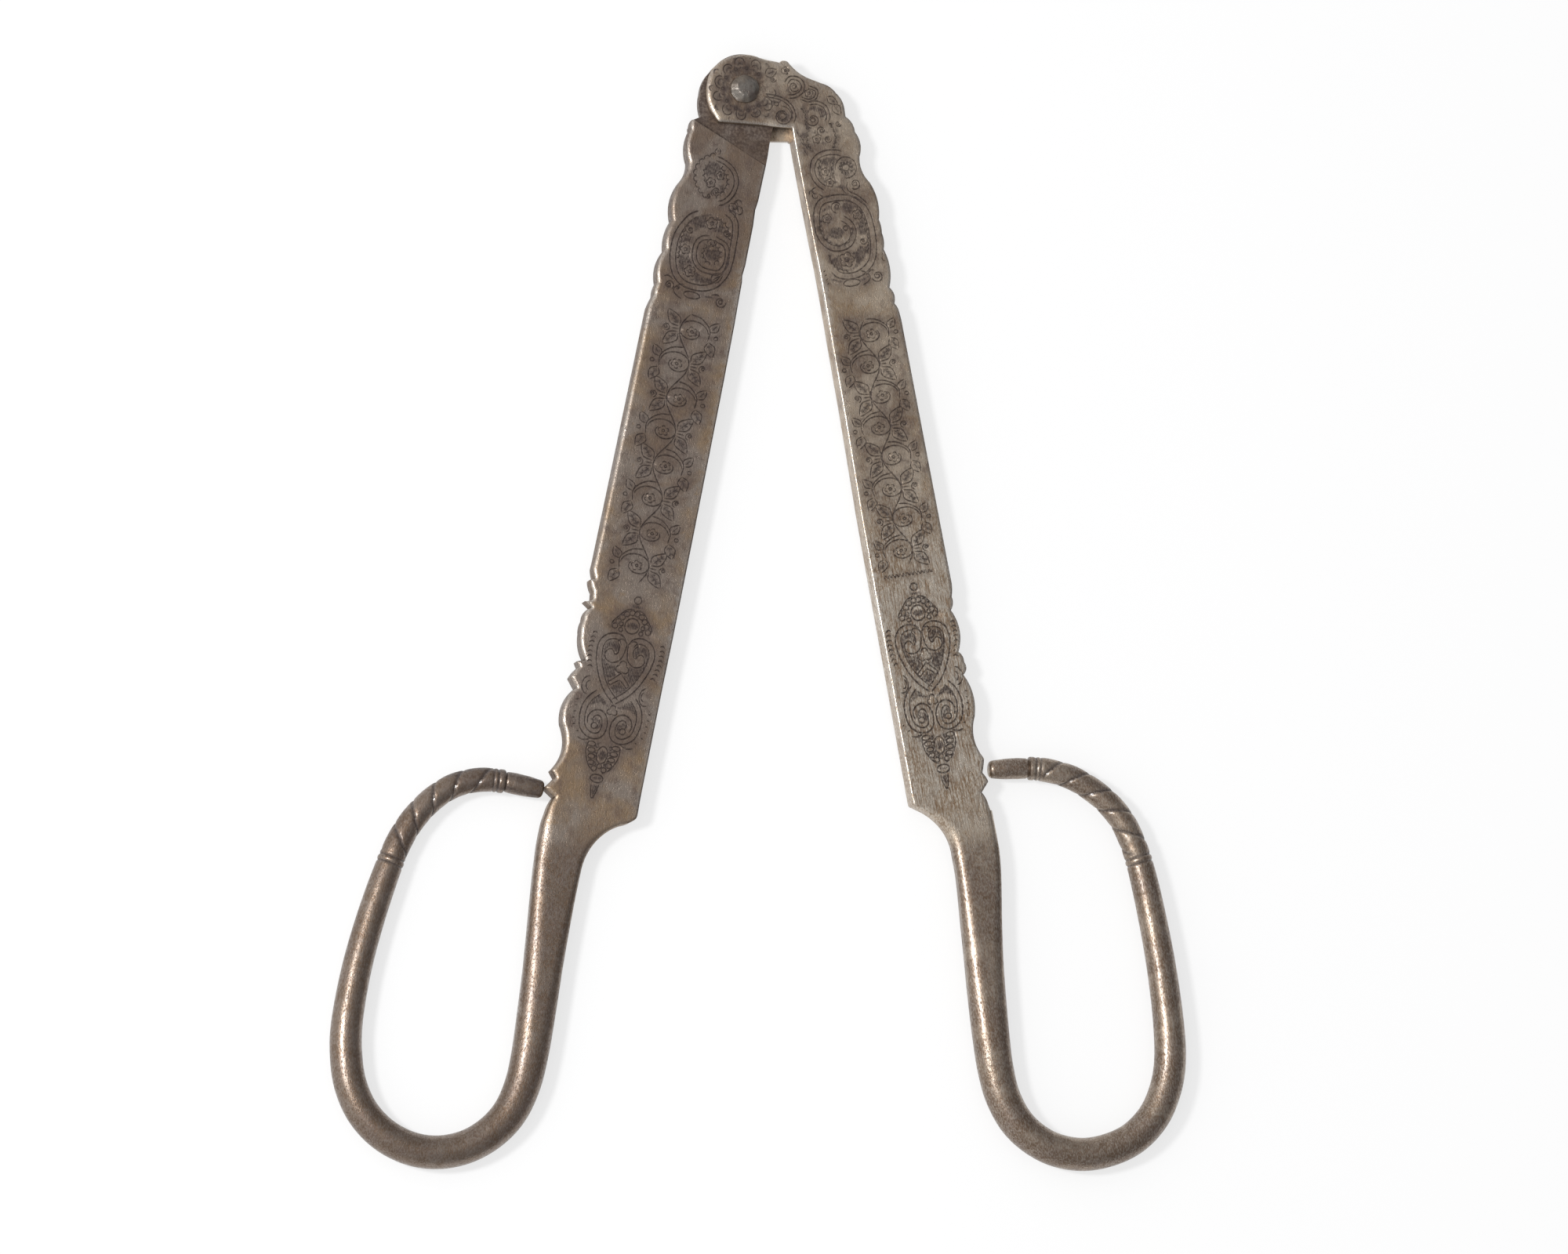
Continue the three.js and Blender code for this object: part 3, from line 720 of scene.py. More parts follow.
def left_upper_panel():
    clear = []
    # a round scroll open towards the edge, with leaves and flowers in it
    rows = ribbon([(16.9, 3.2), (17.3, 1.2), (18.3, -0.8), (19.9, -2.3), (22, -3), (24.5, -2.7),
        (26.4, -1.7), (27.6, -0.6), (28.2, 0.8)], 1)
    rows += frond([(16.9, 3.4), (17.9, 5.2), (19.6, 6.6), (21.8, 7.1), (24, 6.3), (25.6, 5),
        (26.6, 3.4)], 9, 0.7)
    rows += frond([(18.4, 4.9), (20.2, 5.9), (22.6, 5.7), (24.4, 4.4)], 5, -0.6)
    rows += frond([(18.7, 1.3), (20.4, -0.4), (22.9, -1.1), (25.2, -0.3), (26.8, 1.2)], 8, 0.7)
    rows += floret((23.3, 3.4), 1.2, clear) + floret((21.2, 1.5), 1, clear)
    rows += curl((25, 1.7), 1, 90, -440) + leaf((26.4, 2), (24.6, 2.6), 0.3, 1)
    rows += curl((26.4, 3.4), 0.7, 0, 380)
    rows += hatch([(18, 4.6), (17.9, 2.8), (19.2, 1.6), (21.4, 0.6), (22.8, 1.6), (22.6, 4.4),
        (21.4, 5.6), (19.6, 5.4)], clear)
    rows += hatch([(22.4, 0.3), (24.6, 0), (26, 1), (24.4, 1), (23.4, 1.4)], clear)
    rows += leaf((16.5, 3.1), (14.8, 3.2), 0.4, 0)
    rows += arc((27.3, -3), 0.9, -60, -250) + arc((28.2, -4.2), 1, -20, -260)
    rows += arc((26.6, -3.9), 0.8, 60, -250)
    rows += leaf((27, -1.8), (28.9, -4.3), 0.3, 2) + arc((29.4, -3), 0.8, 0, -250)
    # the great oval scroll
    clear = []
    rows += ribbon([(28.5, -1.7), (29.7, -3.8), (31.4, -4.8), (33.7, -5.2), (37, -5.3),
        (40.3, -5.3), (43.3, -4.9), (45.3, -4), (47.2, -2.5), (48.5, 0), (48.8, 2.5), (48.5, 5),
        (47.4, 7), (45.3, 8.5), (42.4, 9.4), (39.1, 9.6), (36.2, 9.2), (33.7, 8.1), (31.6, 6.7),
        (30.3, 4.8)], 1.35)
    rows += ribbon([(35.3, 0), (36.6, -3.2), (39.1, -4.2), (42, -4), (43.9, -2.7), (44.3, -0.7),
        (43.9, 2.1), (42.4, 3.8), (40, 4.5), (37.4, 4.2), (36, 2.9), (35.5, 1.2)], 1)
    rows += frond(turned((39.6, 0), (2.9, 2.7), 120, 330), 12, -0.7)
    rows += floret((37.2, 0.6), 0.9, clear)
    rows += hatch(circle((39.5, -0.2), (2.1, 2)), clear)
    hub = circle((39.6, 0.1), (4.9, 4.6))
    rows += floret((32.6, 1.3), 1.4, clear) + floret((39.9, 6.2), 1.15, clear)
    rows += floret((44.7, 4.2), 1.35, clear)
    rows += curl((35.2, 6), 0.95, 0, 400) + curl((34, -2.6), 1, 180, -400)
    rows += leaf((45.9, -1), (43.6, -3.6), 0.3, 2)
    clear += [circle((35.2, 6), 1), circle((34, -2.6), 1.1)]
    rows += frond([(31.6, 5.4), (33.6, 7), (36.4, 7.9), (39.4, 8.1), (42.4, 7.9)], 9, -0.55)
    rows += frond([(30.6, 0.6), (31.2, -1.6), (33, -3.4), (35.4, -3.9)], 5, 0.6)
    rows += hatch([(30.6, 4), (30.2, 1.2), (31.4, -1), (33.4, -1.8), (35.4, -1.4), (36.2, -3),
        (37.2, -3.6), (34.6, 2.6), (36, 5), (38.4, 5.4), (42, 4.6), (44.4, 2.2), (45.4, -1.6),
        (46.6, -1.4), (47.3, 1), (47.1, 3.4), (46.2, 5.6), (44.2, 7), (41.4, 7.5), (37.6, 7.4),
        (34.4, 6.6), (32, 5.6)], [hub, *clear], 0.36)
    rows += ring((50.1, 2.7), (0.8, 1.9)) + arc((49.7, 2.7), (2, 4.4), -62, 124)
    rows += hatch([(49.3, -0.1), (49, -1.9), (49.9, -2.1), (50.3, -0.4)])
    rows += curl((48.9, 8.3), 1.2, 120, 430) + curl((50.2, -4.2), 1.4, 200, -430)
    rows += curl((48.9, 6.2), 0.6, 0, 380)
    rows += stroke([(47.2, 10), (46.8, 9), (47.6, 7.4)])
    rows += stroke([(49.2, -1.6), (48.7, -3), (49, -3.9)])
    return heavier(rows, 1.1)


def right_upper_panel():
    clear = []
    # a round scroll open towards the edge, with a large flower beside it
    rows = ribbon([(17.6, 20.4), (17.1, 19.3), (16.8, 16.8), (17.4, 14.3), (18.8, 12.8),
        (20.9, 12.1), (23, 12.3), (24.7, 13.2), (26.1, 14.7)], 1.1)
    rows += ring((21.4, 20.6), 0.8) + frond(turned((21.4, 20.6), 1.9, 200, 330), 10, -0.8)
    rows += arc((21.4, 20.6), 2.5, 170, 300)
    rows += floret((24.4, 16.2), 1, clear) + floret((21.7, 15.6), 0.95, clear)
    rows += frond([(19.8, 18.6), (21.2, 17.6), (23.4, 17.8)], 4, -0.5)
    rows += frond([(18.6, 14.6), (20.6, 13.7), (22.6, 13.8), (24.2, 14.8)], 6, 0.5)
    rows += hatch([(18.1, 18.2), (17.9, 16.4), (18.8, 14.8), (20.9, 14.4), (23.2, 14.6),
        (24.8, 15.6), (25.2, 17.6), (23.2, 17.6), (21, 17.4), (20.4, 18.6), (19.2, 19)],
        clear, 0.36)
    rows += hatch([(24.6, 18.4), (26, 18), (26.9, 19.4), (25.4, 20.2)], (), 0.36)
    rows += curl((25.5, 22.1), 1.35, 150, -440) + arc((25.8, 12.4), 0.7, 60, 250)
    rows += arc((26.9, 12.2), 0.65, 0, 250)
    rows += arc((26.2, 11.5), 0.6, 120, 260) + stroke([(26.6, 13), (27.6, 14.4), (27.4, 16.4)])
    rows += stroke([(24.4, 20.4), (26.6, 20.1), (28.4, 22.4), (30.6, 24.3)])
    rows += stroke([(25.6, 18.6), (27.2, 19.4), (29.2, 22), (30.9, 23.6)])
    # the great oval scroll
    clear = []
    rows += ribbon([(31.8, 10.9), (29.3, 11.8), (27.8, 13.4), (27.4, 15.9), (27.6, 18.8),
        (28.4, 21.3), (30.1, 23.2), (32.6, 24.3), (35.5, 24.7), (38.8, 24.7), (41.8, 24.3),
        (44.3, 23.2), (46.1, 21.3), (47.2, 18.8), (47.2, 15.9), (46.3, 13.8), (44.9, 12.8)], -1.4)
    rows += ribbon([(31, 11.2), (33.4, 10.8), (36.4, 11), (39, 12.4), (40.3, 14.3), (40.4, 16.8),
        (39.5, 18.8), (37.6, 20.1), (35.5, 20.3), (33.8, 19.5), (32.4, 17.9)], 1.3)
    rows += frond([(33, 13), (35, 12.6), (37.2, 13.4), (38.6, 15.2), (38.6, 17.2), (37.4, 18.6),
        (35.6, 18.9)], 11, -0.6)
    rows += floret((32.6, 14), 1.1, clear) + ring((35.4, 18), 0.55)
    rows += hatch(circle((36.2, 15.6), (2, 1.9)), clear)
    rows += curl((30.2, 16.8), 1.5, 90, 420) + stroke([(29, 17.6), (28.9, 19.2), (29.6, 20.8)])
    clear.append(circle((30.2, 16.8), 1.6))
    hub = circle((36, 15.4), (5.1, 5.1))
    rows += floret((32.6, 21.4), 1.2, clear) + curl((38.9, 21.6), 0.9, 0, 400)
    rows += floret((42.7, 17), 1.75, clear)
    clear.append(circle((38.9, 21.6), 1))
    rows += frond([(30.6, 22), (33, 23), (36, 23.3), (39.4, 23.2), (42, 22.6)], 10, -0.5)
    rows += frond([(41, 12.6), (43.4, 13), (44.9, 14.4), (45.8, 16.6)], 6, 0.5)
    rows += hatch([(29.2, 14.6), (28.9, 17.4), (29.4, 20), (31.2, 22), (34, 22.8), (38, 22.8),
        (41.2, 22.3), (43.8, 20.8), (45.5, 18.6), (45.6, 16.2), (44.4, 14.2), (42, 13.4),
        (41, 14.8), (41.2, 17.8), (39.6, 20.4), (36.4, 21.1), (33.4, 20.2), (31.6, 18), (31, 15.4),
        (31.4, 13.6), (30.4, 13.2)], [hub, *clear], 0.36)
    rows += ring((48.2, 17.2), (0.8, 2)) + arc((47.4, 17.2), (2, 4.6), -60, 120)
    rows += hatch([(46.4, 13), (47.3, 12.9), (48, 14.6), (47.4, 15)])
    rows += hatch([(47.4, 19.6), (46.8, 21.2), (47.7, 21.4), (48.4, 19.8)])
    rows += curl((47.5, 23.5), 1.45, 180, -450) + stroke([(47, 20.6), (45.9, 22.2), (46.1, 23.2)])
    rows += arc((43.6, 26), 0.7, 60, 240) + arc((42.4, 26.2), 0.6, 40, 240)
    for along, out in zip(np.linspace(44.4, 47.4, 4), np.linspace(11.6, 12, 4)):
        rows += stroke([(along, out), (along + 0.28, out - 0.4), (along + 0.4, out - 0.8)],
            LINE * 1.1, True, 0.5)
    return rows


# One side of a heart panel: places down from the heart's top or tip, and outwards as a share of its
# half width
HEART_SIDE = [(2.2, 0.03), (0.9, 0.14), (0.2, 0.36), (0.5, 0.68), (1.7, 0.9), (3.6, 1), (6.1, 0.97),
    (8.3, 0.88), (11.6, 0.66), (14.2, 0.38), (16.4, 0)]
HEART_GROUND = [(3.4, 0.1), (1.8, 0.3), (1.7, 0.58), (2.8, 0.76), (5.6, 0.79), (8.2, 0.7),
    (11.2, 0.48), (13.6, 0.2), (14.6, 0), (9.5, 0)]
HEART_CURL = [(2.2, 0.02), (4.8, 0.07), (6.3, 0.18), (7, 0.4), (6.5, 0.62), (5.3, 0.7), (4.3, 0.64),
    (3.9, 0.52), (4.4, 0.42), (5, 0.36), (4.5, 0.27), (3.5, 0.25), (2.7, 0.28), (2, 0.36),
    (1.3, 0.28), (1.3, 0.14)]
LOBE_SIDE = [(-2.4, 0.66), (-0.4, 0.92), (2.1, 1.06), (4.6, 1.06), (7.1, 0.95), (8.6, 0.68),
    (8.9, 0.4), (8.1, 0.17), (6.6, 0.07), (4.6, 0.07), (2.9, 0.19), (2.1, 0.42), (2.7, 0.66),
    (4.2, 0.78), (5.9, 0.72)]
LOBE_GROUND = [(3.9, 0.36), (3.5, 0.52), (4.3, 0.64), (6, 0.56), (7, 0.4), (6.4, 0.27), (5.2, 0.24)]
CORNER_GROUND = [(-1.8, 0.56), (0, 0.78), (2, 0.84), (1, 0.5), (1.4, 0.2), (0.7, 0.14)]


def lower_panel(axis, half_width, top, tip, lean, weight):
    """Two hearts of scrolls, tip to lobes, between beaded finials. It leans out as it runs down."""
    rows, clear = [], []
    rows += trefoil((top + 7.7, 0), 1.45, clear) + trefoil((tip + 1.7, 0), 1.15, clear)
    chevron = [(tip - 7.2, 0), (tip - 6, 1.15), (tip - 4.7, 2.5), (tip - 4, 1.95), (tip - 5, 0.85),
        (tip - 5.6, 0)]
    chevron = np.array(chevron + [(along, -out) for along, out in chevron[::-1]])
    rows += loop_cut(chevron)
    rows += hatch([(tip - 4.9, 0), (tip - 3.6, 1.6), (tip - 1.8, 0), (tip - 3.6, -1.6)])
    for side in (-1, 1):
        def at(table, start, side=side):
            return [(start + along, side * share * half_width) for along, share in table]
        rows += ribbon(at(HEART_SIDE, top), -side * 1.3)
        comma = smooth_line([*at(HEART_CURL, top), at(HEART_CURL, top)[0]])
        rows += loop_cut(comma[:-1])
        rows += hatch(at(HEART_GROUND, top), [comma, chevron, *clear], 0.38)
        rows += ribbon(at(LOBE_SIDE, tip), -side * 1.25)
        ball = circle((tip + 5.9, side * 0.5 * half_width), 0.7)
        rows += loop_cut(ball) + hatch(at(LOBE_GROUND, tip), [ball])
        rows += hatch(at(CORNER_GROUND, tip), clear, 0.38)
        # loops and rays beside the hearts
        rows += arc((tip - 3, side * (half_width + 0.1)), (2.1, 1.5),
            90 - side * 90 + 100, side * -200)
        rows += arc((tip - 3, side * (half_width - 0.2)), (1.1, 0.8),
            90 - side * 90 + 100, side * -200)
        for along in np.linspace(top + 1.2, top + 9, 8):
            root = side * (half_width * (1.12 - 0.02 * (along - top - 4) ** 2 / 4))
            rows += stroke([(along, root), (along - 0.4, root + side * 0.8),
                (along + 0.2, root + side * 1.5)], LINE, True, 0.5)
        for along in np.linspace(tip + 0.6, tip + 9.2, 7):
            root = side * half_width * (1.2 - 0.0075 * max(0, along - tip - 4) ** 2.6)
            rows += stroke([(along, root), (along + 0.3, root + side * 0.9)], LINE, True, 0.4)
        rows += stroke([(tip + 8.9, side * half_width * 0.5), (tip + 9.6, side * half_width * 0.75),
            (tip + 9.2, side * half_width * 1)])
    # upper finial: a medallion under a cap of beads, with a stem and a drop on top
    crown = top - 2.2
    rows += ring((crown, 0), (1.8, 1.7)) + hatch(turned((crown, 0), 1.35, 0, 300))
    rows += ring((top - 8.3, 0), 0.85)
    rows += hatch([(top - 7.5, -0.7), (top - 6.1, -0.8), (top - 6.1, 0.8), (top - 7.5, 0.7)], (),
        0.28)
    for side in (-1, 1):
        rows += beads([(top - 5.2, side * 0.55), (top - 4.6, side * 1.9), (top - 3.2, side * 3),
            (top - 1.5, side * 3.9)], 5, 0.62)
        rows += beads([(top - 2.2, side * 2.6), (top - 0.9, side * 2.4)], 2, 0.5)
        rows += stroke([(top - 6.1, 0), (top - 5.7, side * 1.9), (top - 4, side * 3.4),
            (top - 2, side * 4.7), (top - 0.9, side * 4.2)])
    # lower finial: a medallion between rows of lobes that close to a knob and a hanging drop
    foot = tip + 9.6
    rows += ring((foot + 2.6, 0), (2, 1.25))
    rows += hatch(turned((foot + 2.6, 0), (1.6, 0.9), 0, 300), (), 0.3)
    for side in (-1, 1):
        for k, along in enumerate(np.linspace(foot + 0.5, foot + 4.7, 4)):
            middle = side * (2.9 - 0.28 * k)
            rows += ring((along, middle), (0.56, 0.95 - 0.06 * k))
            rows += ring((along + 0.2, side * (1.55 - 0.1 * k)), (0.42, 0.34), FINE)
        rows += ring((foot + 5.9, side * 1.15), 0.6)
        rows += stroke([(foot - 0.3, side * 3.6), (foot + 2, side * 3.9), (foot + 5.4, side * 2.6),
            (foot + 7, side * 0.7)])
    rows += ring((foot + 5.2, 0), 0.55) + ring((foot + 8.1, 0), (0.95, 1.5))
    rows += hatch(turned((foot + 8, 0), (0.7, 1.2), 0, 300), (), 0.3)
    rows += hatch([(foot + 9.3, -0.9), (foot + 9.3, 0.9), (foot + 11, 0.6), (foot + 12.6, 0),
        (foot + 11, -0.5)], (), 0.28)
    rows += stroke([(foot + 9.2, -0.9), (foot + 11.2, -0.6), (foot + 12.8, 0.1), (foot + 11.2, 0.7),
        (foot + 9.2, 0.9)])
    for row in rows:
        along, out = row["points"].T
        row["points"] = np.column_stack([along, out + axis + lean * (along - top)])
    return heavier(rows, weight)


def left_engraving():
    return [*left_upper_panel(), *vine(54.5, 118.5, 2, 1.6, 4, 1),
        *lower_panel(1.4, 6.7, 130.7, 146.9, 0.035, 1.05)]


def head_panel():
    rows, clear = [], []
    # two rows of worn petals round the rivet
    for k in range(11):
        angle = 33 * k + 8 + 5 * math.sin(3.1 * k)
        a = math.radians(angle)
        way = np.array([math.sin(a), math.cos(a)])
        size = 1 + 0.18 * math.sin(2.3 * k)
        if way[1] * 6 < 5.4:
            rows += arc(way * (6.1 + 0.3 * math.sin(1.7 * k)), (1.25 * size, 1.15),
                angle - 125, 240)
            rows += arc(way * 5.5, 0.7 * size, angle - 100, 200, FINE)
            rows += fine_stroke([way * 4.6, way * 5.6])
            side = np.array([math.sin(a + 0.28), math.cos(a + 0.28)])
            rows += arc(side * 7.6, 0.62, angle - 80, 230, FINE) + ring(side * 5, 0.36, FINE)
    # scrolls on the shoulder
    rows += curl((7.5, 7.9), 2.4, -90, 520) + frond(turned((7.5, 7.9), 1.5, 0, 300), 8, -0.4)
    rows += ribbon([(1.7, 4.6), (2.4, 7), (3.6, 9.2), (5.4, 10.6), (7.9, 11), (9.4, 10.2)], -0.7)
    rows += hatch([(2.9, 6), (3.9, 8.4), (4.9, 9.2), (4.6, 7.4), (5.2, 6), (4.2, 5.2)])
    rows += ribbon([(-0.2, 9.6), (-1.5, 11.2), (-0.9, 13.4), (0.9, 14.4), (2.7, 13.6), (3.6, 11.6),
        (3.5, 9.8)], -0.8)
    rows += curl((1, 11.8), 1.3, 30, 420)
    rows += hatch([(-0.3, 10.4), (2.2, 9.9), (3, 11.6), (2, 13.2), (0, 13)], [circle((1, 11.8),
        1.35)])
    rows += ribbon([(1.2, 15.2), (2.6, 17.2), (4.4, 16.6), (5, 14.6), (4, 12.6)], -0.6)
    rows += floret((3, 15), 1, clear)
    rows += ribbon([(4.9, 14.4), (5.1, 16.6), (6.6, 18.6), (9, 19), (10.6, 18.2)], -0.8)
    rows += hatch([(5.7, 14.4), (6, 16.8), (7.4, 18), (9.3, 17.9), (9.9, 15.8), (7.6, 14)],
        [circle((9.3, 14.9), 1.7)], 0.32)
    rows += curl((9.3, 14.9), 1.6, 180, -420)
    rows += frond([(6.4, 12.2), (8, 12.9), (9.4, 12.6), (11.2, 12.6)], 5, 0.5)
    rows += leaf((6.2, 20.2), (9.2, 21.6), 0.3) + leaf((4.4, 19), (6.6, 21.4), 0.26)
    rows += curl((11, 20.6), 0.8, 0, 380)
    rows += curl((12.1, 16.4), 1.2, 90, 420) + floret((13.9, 14.9), 1, clear)
    rows += curl((14.2, 17.6), 0.95, 0, 400)
    rows += frond([(11.2, 14.2), (12.8, 13.4), (14.6, 13.2), (16.4, 13.8)], 6, -0.6)
    rows += frond([(10.8, 18.2), (12.6, 18.9), (14.4, 19), (16.2, 18)], 6, 0.6)
    rows += hatch([(11, 15), (12.6, 14.4), (14.8, 15.8), (16.2, 16.6), (14.6, 17.2), (12.6, 17.8),
        (11.2, 17.2)], [circle((12.1, 16.4), 1.25), circle((14.2, 17.6), 1), *clear])
    for along, out in ((10.6, 10.4), (11.6, 11.1), (12.8, 11), (13.8, 11.8), (15, 11.4)):
        rows += stroke([(along, out), (along + 1.4, out + 0.3), (along + 2.6, out + 0.9)],
            FINE * 1.2, True, 0.8)
    rows += leaf((-2.6, 5.4), (-3.4, 8.6), 0.34, 2) + curl((-1.4, 7.2), 0.8, 0, 380)
    rows += arc((1.8, 6.2), 1.1, -60, 260)
    rows += ring((4.4, 7), 0.5) + floret((-3, 10.4), 0.9, clear) + curl((-0.8, 16.4), 0.8, 60, -380)
    return rows


def right_engraving():
    looped = [(117 + 0.45 * math.sin(k * 2.1), 12.2 + 0.29 * k) for k in range(42)]
    return [*head_panel(), *right_upper_panel(), *vine(57, 115, 18.6, 1.4, 4, -1), *stroke(looped),
        *lower_panel(18.9, 6.4, 128.4, 144.9, -0.015, 1.32)]


# ---------------------------------------------------------------- the forged plate

def point_tree(points):
    """For finding the nearest of the points to a place."""
    tree = KDTree(len(points))
    for index, (x, y) in enumerate(points):
        tree.insert((x, y, 0), index)
    tree.balance()
    return tree


class Outline:
    """A closed outline, and how far in from it a place lies."""

    def __init__(self, points):
        after = np.roll(points, -1, axis=0)
        area = (points[:, 0] * after[:, 1] - points[:, 1] * after[:, 0]).sum() / 2
        self.points = points if area > 0 else points[::-1]
        self.runs = np.roll(self.points, -1, axis=0) - self.points
        self.tree = point_tree(self.points)

    def depth(self, places):
        """The distance in from the outline. It is less than nothing outside."""
        nearest = np.array([self.tree.find((x, y, 0))[1] for x, y in places])
        best = np.full(len(places), 1e9)
        signed = np.zeros(len(places))
        for pick in (nearest - 1, nearest):
            run = self.runs[pick]
            offset = places - self.points[pick]
            share = np.clip((offset * run).sum(1) / (run ** 2).sum(1), 0, 1)
            gap = np.linalg.norm(offset - run * share[:, None], axis=1)
            across = (left_of(run) * offset).sum(1) / np.linalg.norm(run, axis=1)
            rank = gap - 1e-4 * np.abs(across)
            signed = np.where(rank < best, np.sign(across) * gap, signed)
            best = np.minimum(rank, best)
        return signed


# Engraving keeps this far in from the edge, and is cut in steps this long
PLAIN_MARGIN = 0.45
CUT_STEP = 0.34
STRAIGHT_CUT_STEP = 0.9
CUT_REACH = 0.3


def prepare_cuts(rows, arm, outline):
    """The engraved lines in the arm's x and y, kept clear of the edge, with their half widths."""
    cuts = []
    for row in rows:
        bold = row["half"] > BOLD_FROM
        step = CUT_STEP if len(row["points"]) > 2 else STRAIGHT_CUT_STEP
        line = resample(on_arm(row["points"], arm), step)
        keep = outline.depth(line) > PLAIN_MARGIN
        runs = np.split(np.arange(len(line)), np.where(np.diff(keep.astype(int)) != 0)[0] + 1)
        for run in runs:
            if keep[run[0]] and len(run) > 2:
                points = line[run]
                length = line_length(points)
                half = np.full(len(points), row["half"])
                closed = row["taper"] == 0 and len(run) == len(line)
                if not closed:
                    reach = max(0.2, min(row["taper"], length[-1] / 2.2))
                    end = np.minimum(length, length[-1] - length) / reach
                    half = half * np.clip(end, 0, 1) ** 0.6
                cuts.append(dict(
                    points=points, half=half, widest=row["half"], closed=closed, bold=bold))
    return cuts


def cut_depth(points, cuts):
    """How deep the engraving is at each point, and its share of the full depth."""
    depth = np.zeros(len(points))
    share = np.zeros(len(points))
    order = np.argsort(points[:, 1])
    sorted_y = points[order, 1]
    for cut in cuts:
        low = cut["points"].min(0) - CUT_REACH
        high = cut["points"].max(0) + CUT_REACH
        spread = STAIN_SPREAD if cut["bold"] else HATCH_SPREAD
        span = order[np.searchsorted(sorted_y, low[1]):np.searchsorted(sorted_y, high[1])]
        near = span[(points[span, 0] > low[0]) & (points[span, 0] < high[0])]
        if not len(near):
            continue
        start = cut["points"][:-1]
        run = np.diff(cut["points"], axis=0)
        size = np.maximum((run ** 2).sum(1), 1e-12)
        part = points[near][:, None, :]
        at = np.clip(((part - start) * run).sum(2) / size, 0, 1)
        gap = np.sqrt(((part - start - at[..., None] * run) ** 2).sum(2))
        half = cut["half"][:-1] + at * np.diff(cut["half"])
        half = np.maximum(half, 1e-4)
        bite = (np.clip(1 - gap / half, 0, 1) * half).max(1)
        stain = (np.clip(1 - gap / half / spread, 0, 1) * half).max(1)
        depth[near] = np.maximum(depth[near], bite * CUT_STEEPNESS)
        share[near] = np.maximum(share[near], stain / cut["widest"])
    return depth, share


def eased(share):
    """A share that starts and ends softly, and is kept from 0 to 1."""
    share = np.clip(share, 0, 1)
    return share * share * (3 - 2 * share)


# How far the worn edges reach in from the outline, and how far down: on the jaw side, the outer
# side, and both sides of the neck, where the rod begins
EDGE_ROUNDING = {
    -1: dict(jaw=(0.45, 0.4), outer=(1.0, 0.8), neck_in=(1.5, 1.3), neck_out=(3.2, 2.0)),
    1: dict(jaw=(0.42, 0.36), outer=(0.75, 0.6), neck_in=(2.6, 1.9), neck_out=(1.7, 1.4)),
}
CHEEK_ROUNDING = (1.15, 0.9)
FACE_DROP = 0.06
# Rows of points along a worn edge, as shares of its reach, the pitch of the loose grid between the
# cuts, and the cells that keep the grid clear of them
EDGE_ROWS = (0.05, 0.17, 0.34, 0.56, 0.8, 1.05)
GRID_PITCH = 1.3
GRID_CELL = 0.45
WALL_ROW_SHARE = 2.2


def edge_rounding(points, arm):
    along = -points[:, 1]
    out = arm["side"] * points[:, 0]
    outer = eased((out - arm["middle"] + 6.0) / 8.0)[:, None]
    neck = eased((along - arm["blade"] + 3.0) / 13.0)[:, None]
    near_neck = eased((out - arm["middle"]) / 5.0 + 0.5)[:, None]
    sizes = {name: np.array(size) for name, size in EDGE_ROUNDING[arm["side"]].items()}
    blade = sizes["jaw"] * (1 - outer) + sizes["outer"] * outer
    root = sizes["neck_in"] * (1 - near_neck) + sizes["neck_out"] * near_neck
    both = blade * (1 - neck) + root * neck
    if arm["side"] > 0:
        cheek = eased((CHEEK_RADIUS + 2 - np.hypot(along, out)) / 2)[:, None]
        both = both * (1 - cheek) + np.array(CHEEK_ROUNDING) * cheek
    return both[:, 0], both[:, 1]


def face_height(points, arm, outline, cuts):
    """The height of the worn and engraved front face."""
    gap = np.maximum(outline.depth(points), 0)
    reach, drop = edge_rounding(points, arm)
    share = np.clip(1 - gap / reach, 0, 1)
    fall = drop * (1 - np.sqrt(np.maximum(0, 1 - share ** 2)))
    depth, _ = cut_depth(points, cuts)
    x, y = points[:, 0], points[:, 1]
    wave = 0.035 * np.sin(0.21 * y + 0.6) * np.sin(0.33 * x + 0.19 * y + 1.3)
    wave += 0.02 * np.sin(0.47 * y + 1.1 * np.sin(0.3 * x))
    wave *= np.clip(gap / 2 - 0.2, 0, 1) * np.clip((arm["blade"] + 6 + y) / 6, 0, 1)
    return FRONT_Z - FACE_DROP - fall - depth + wave


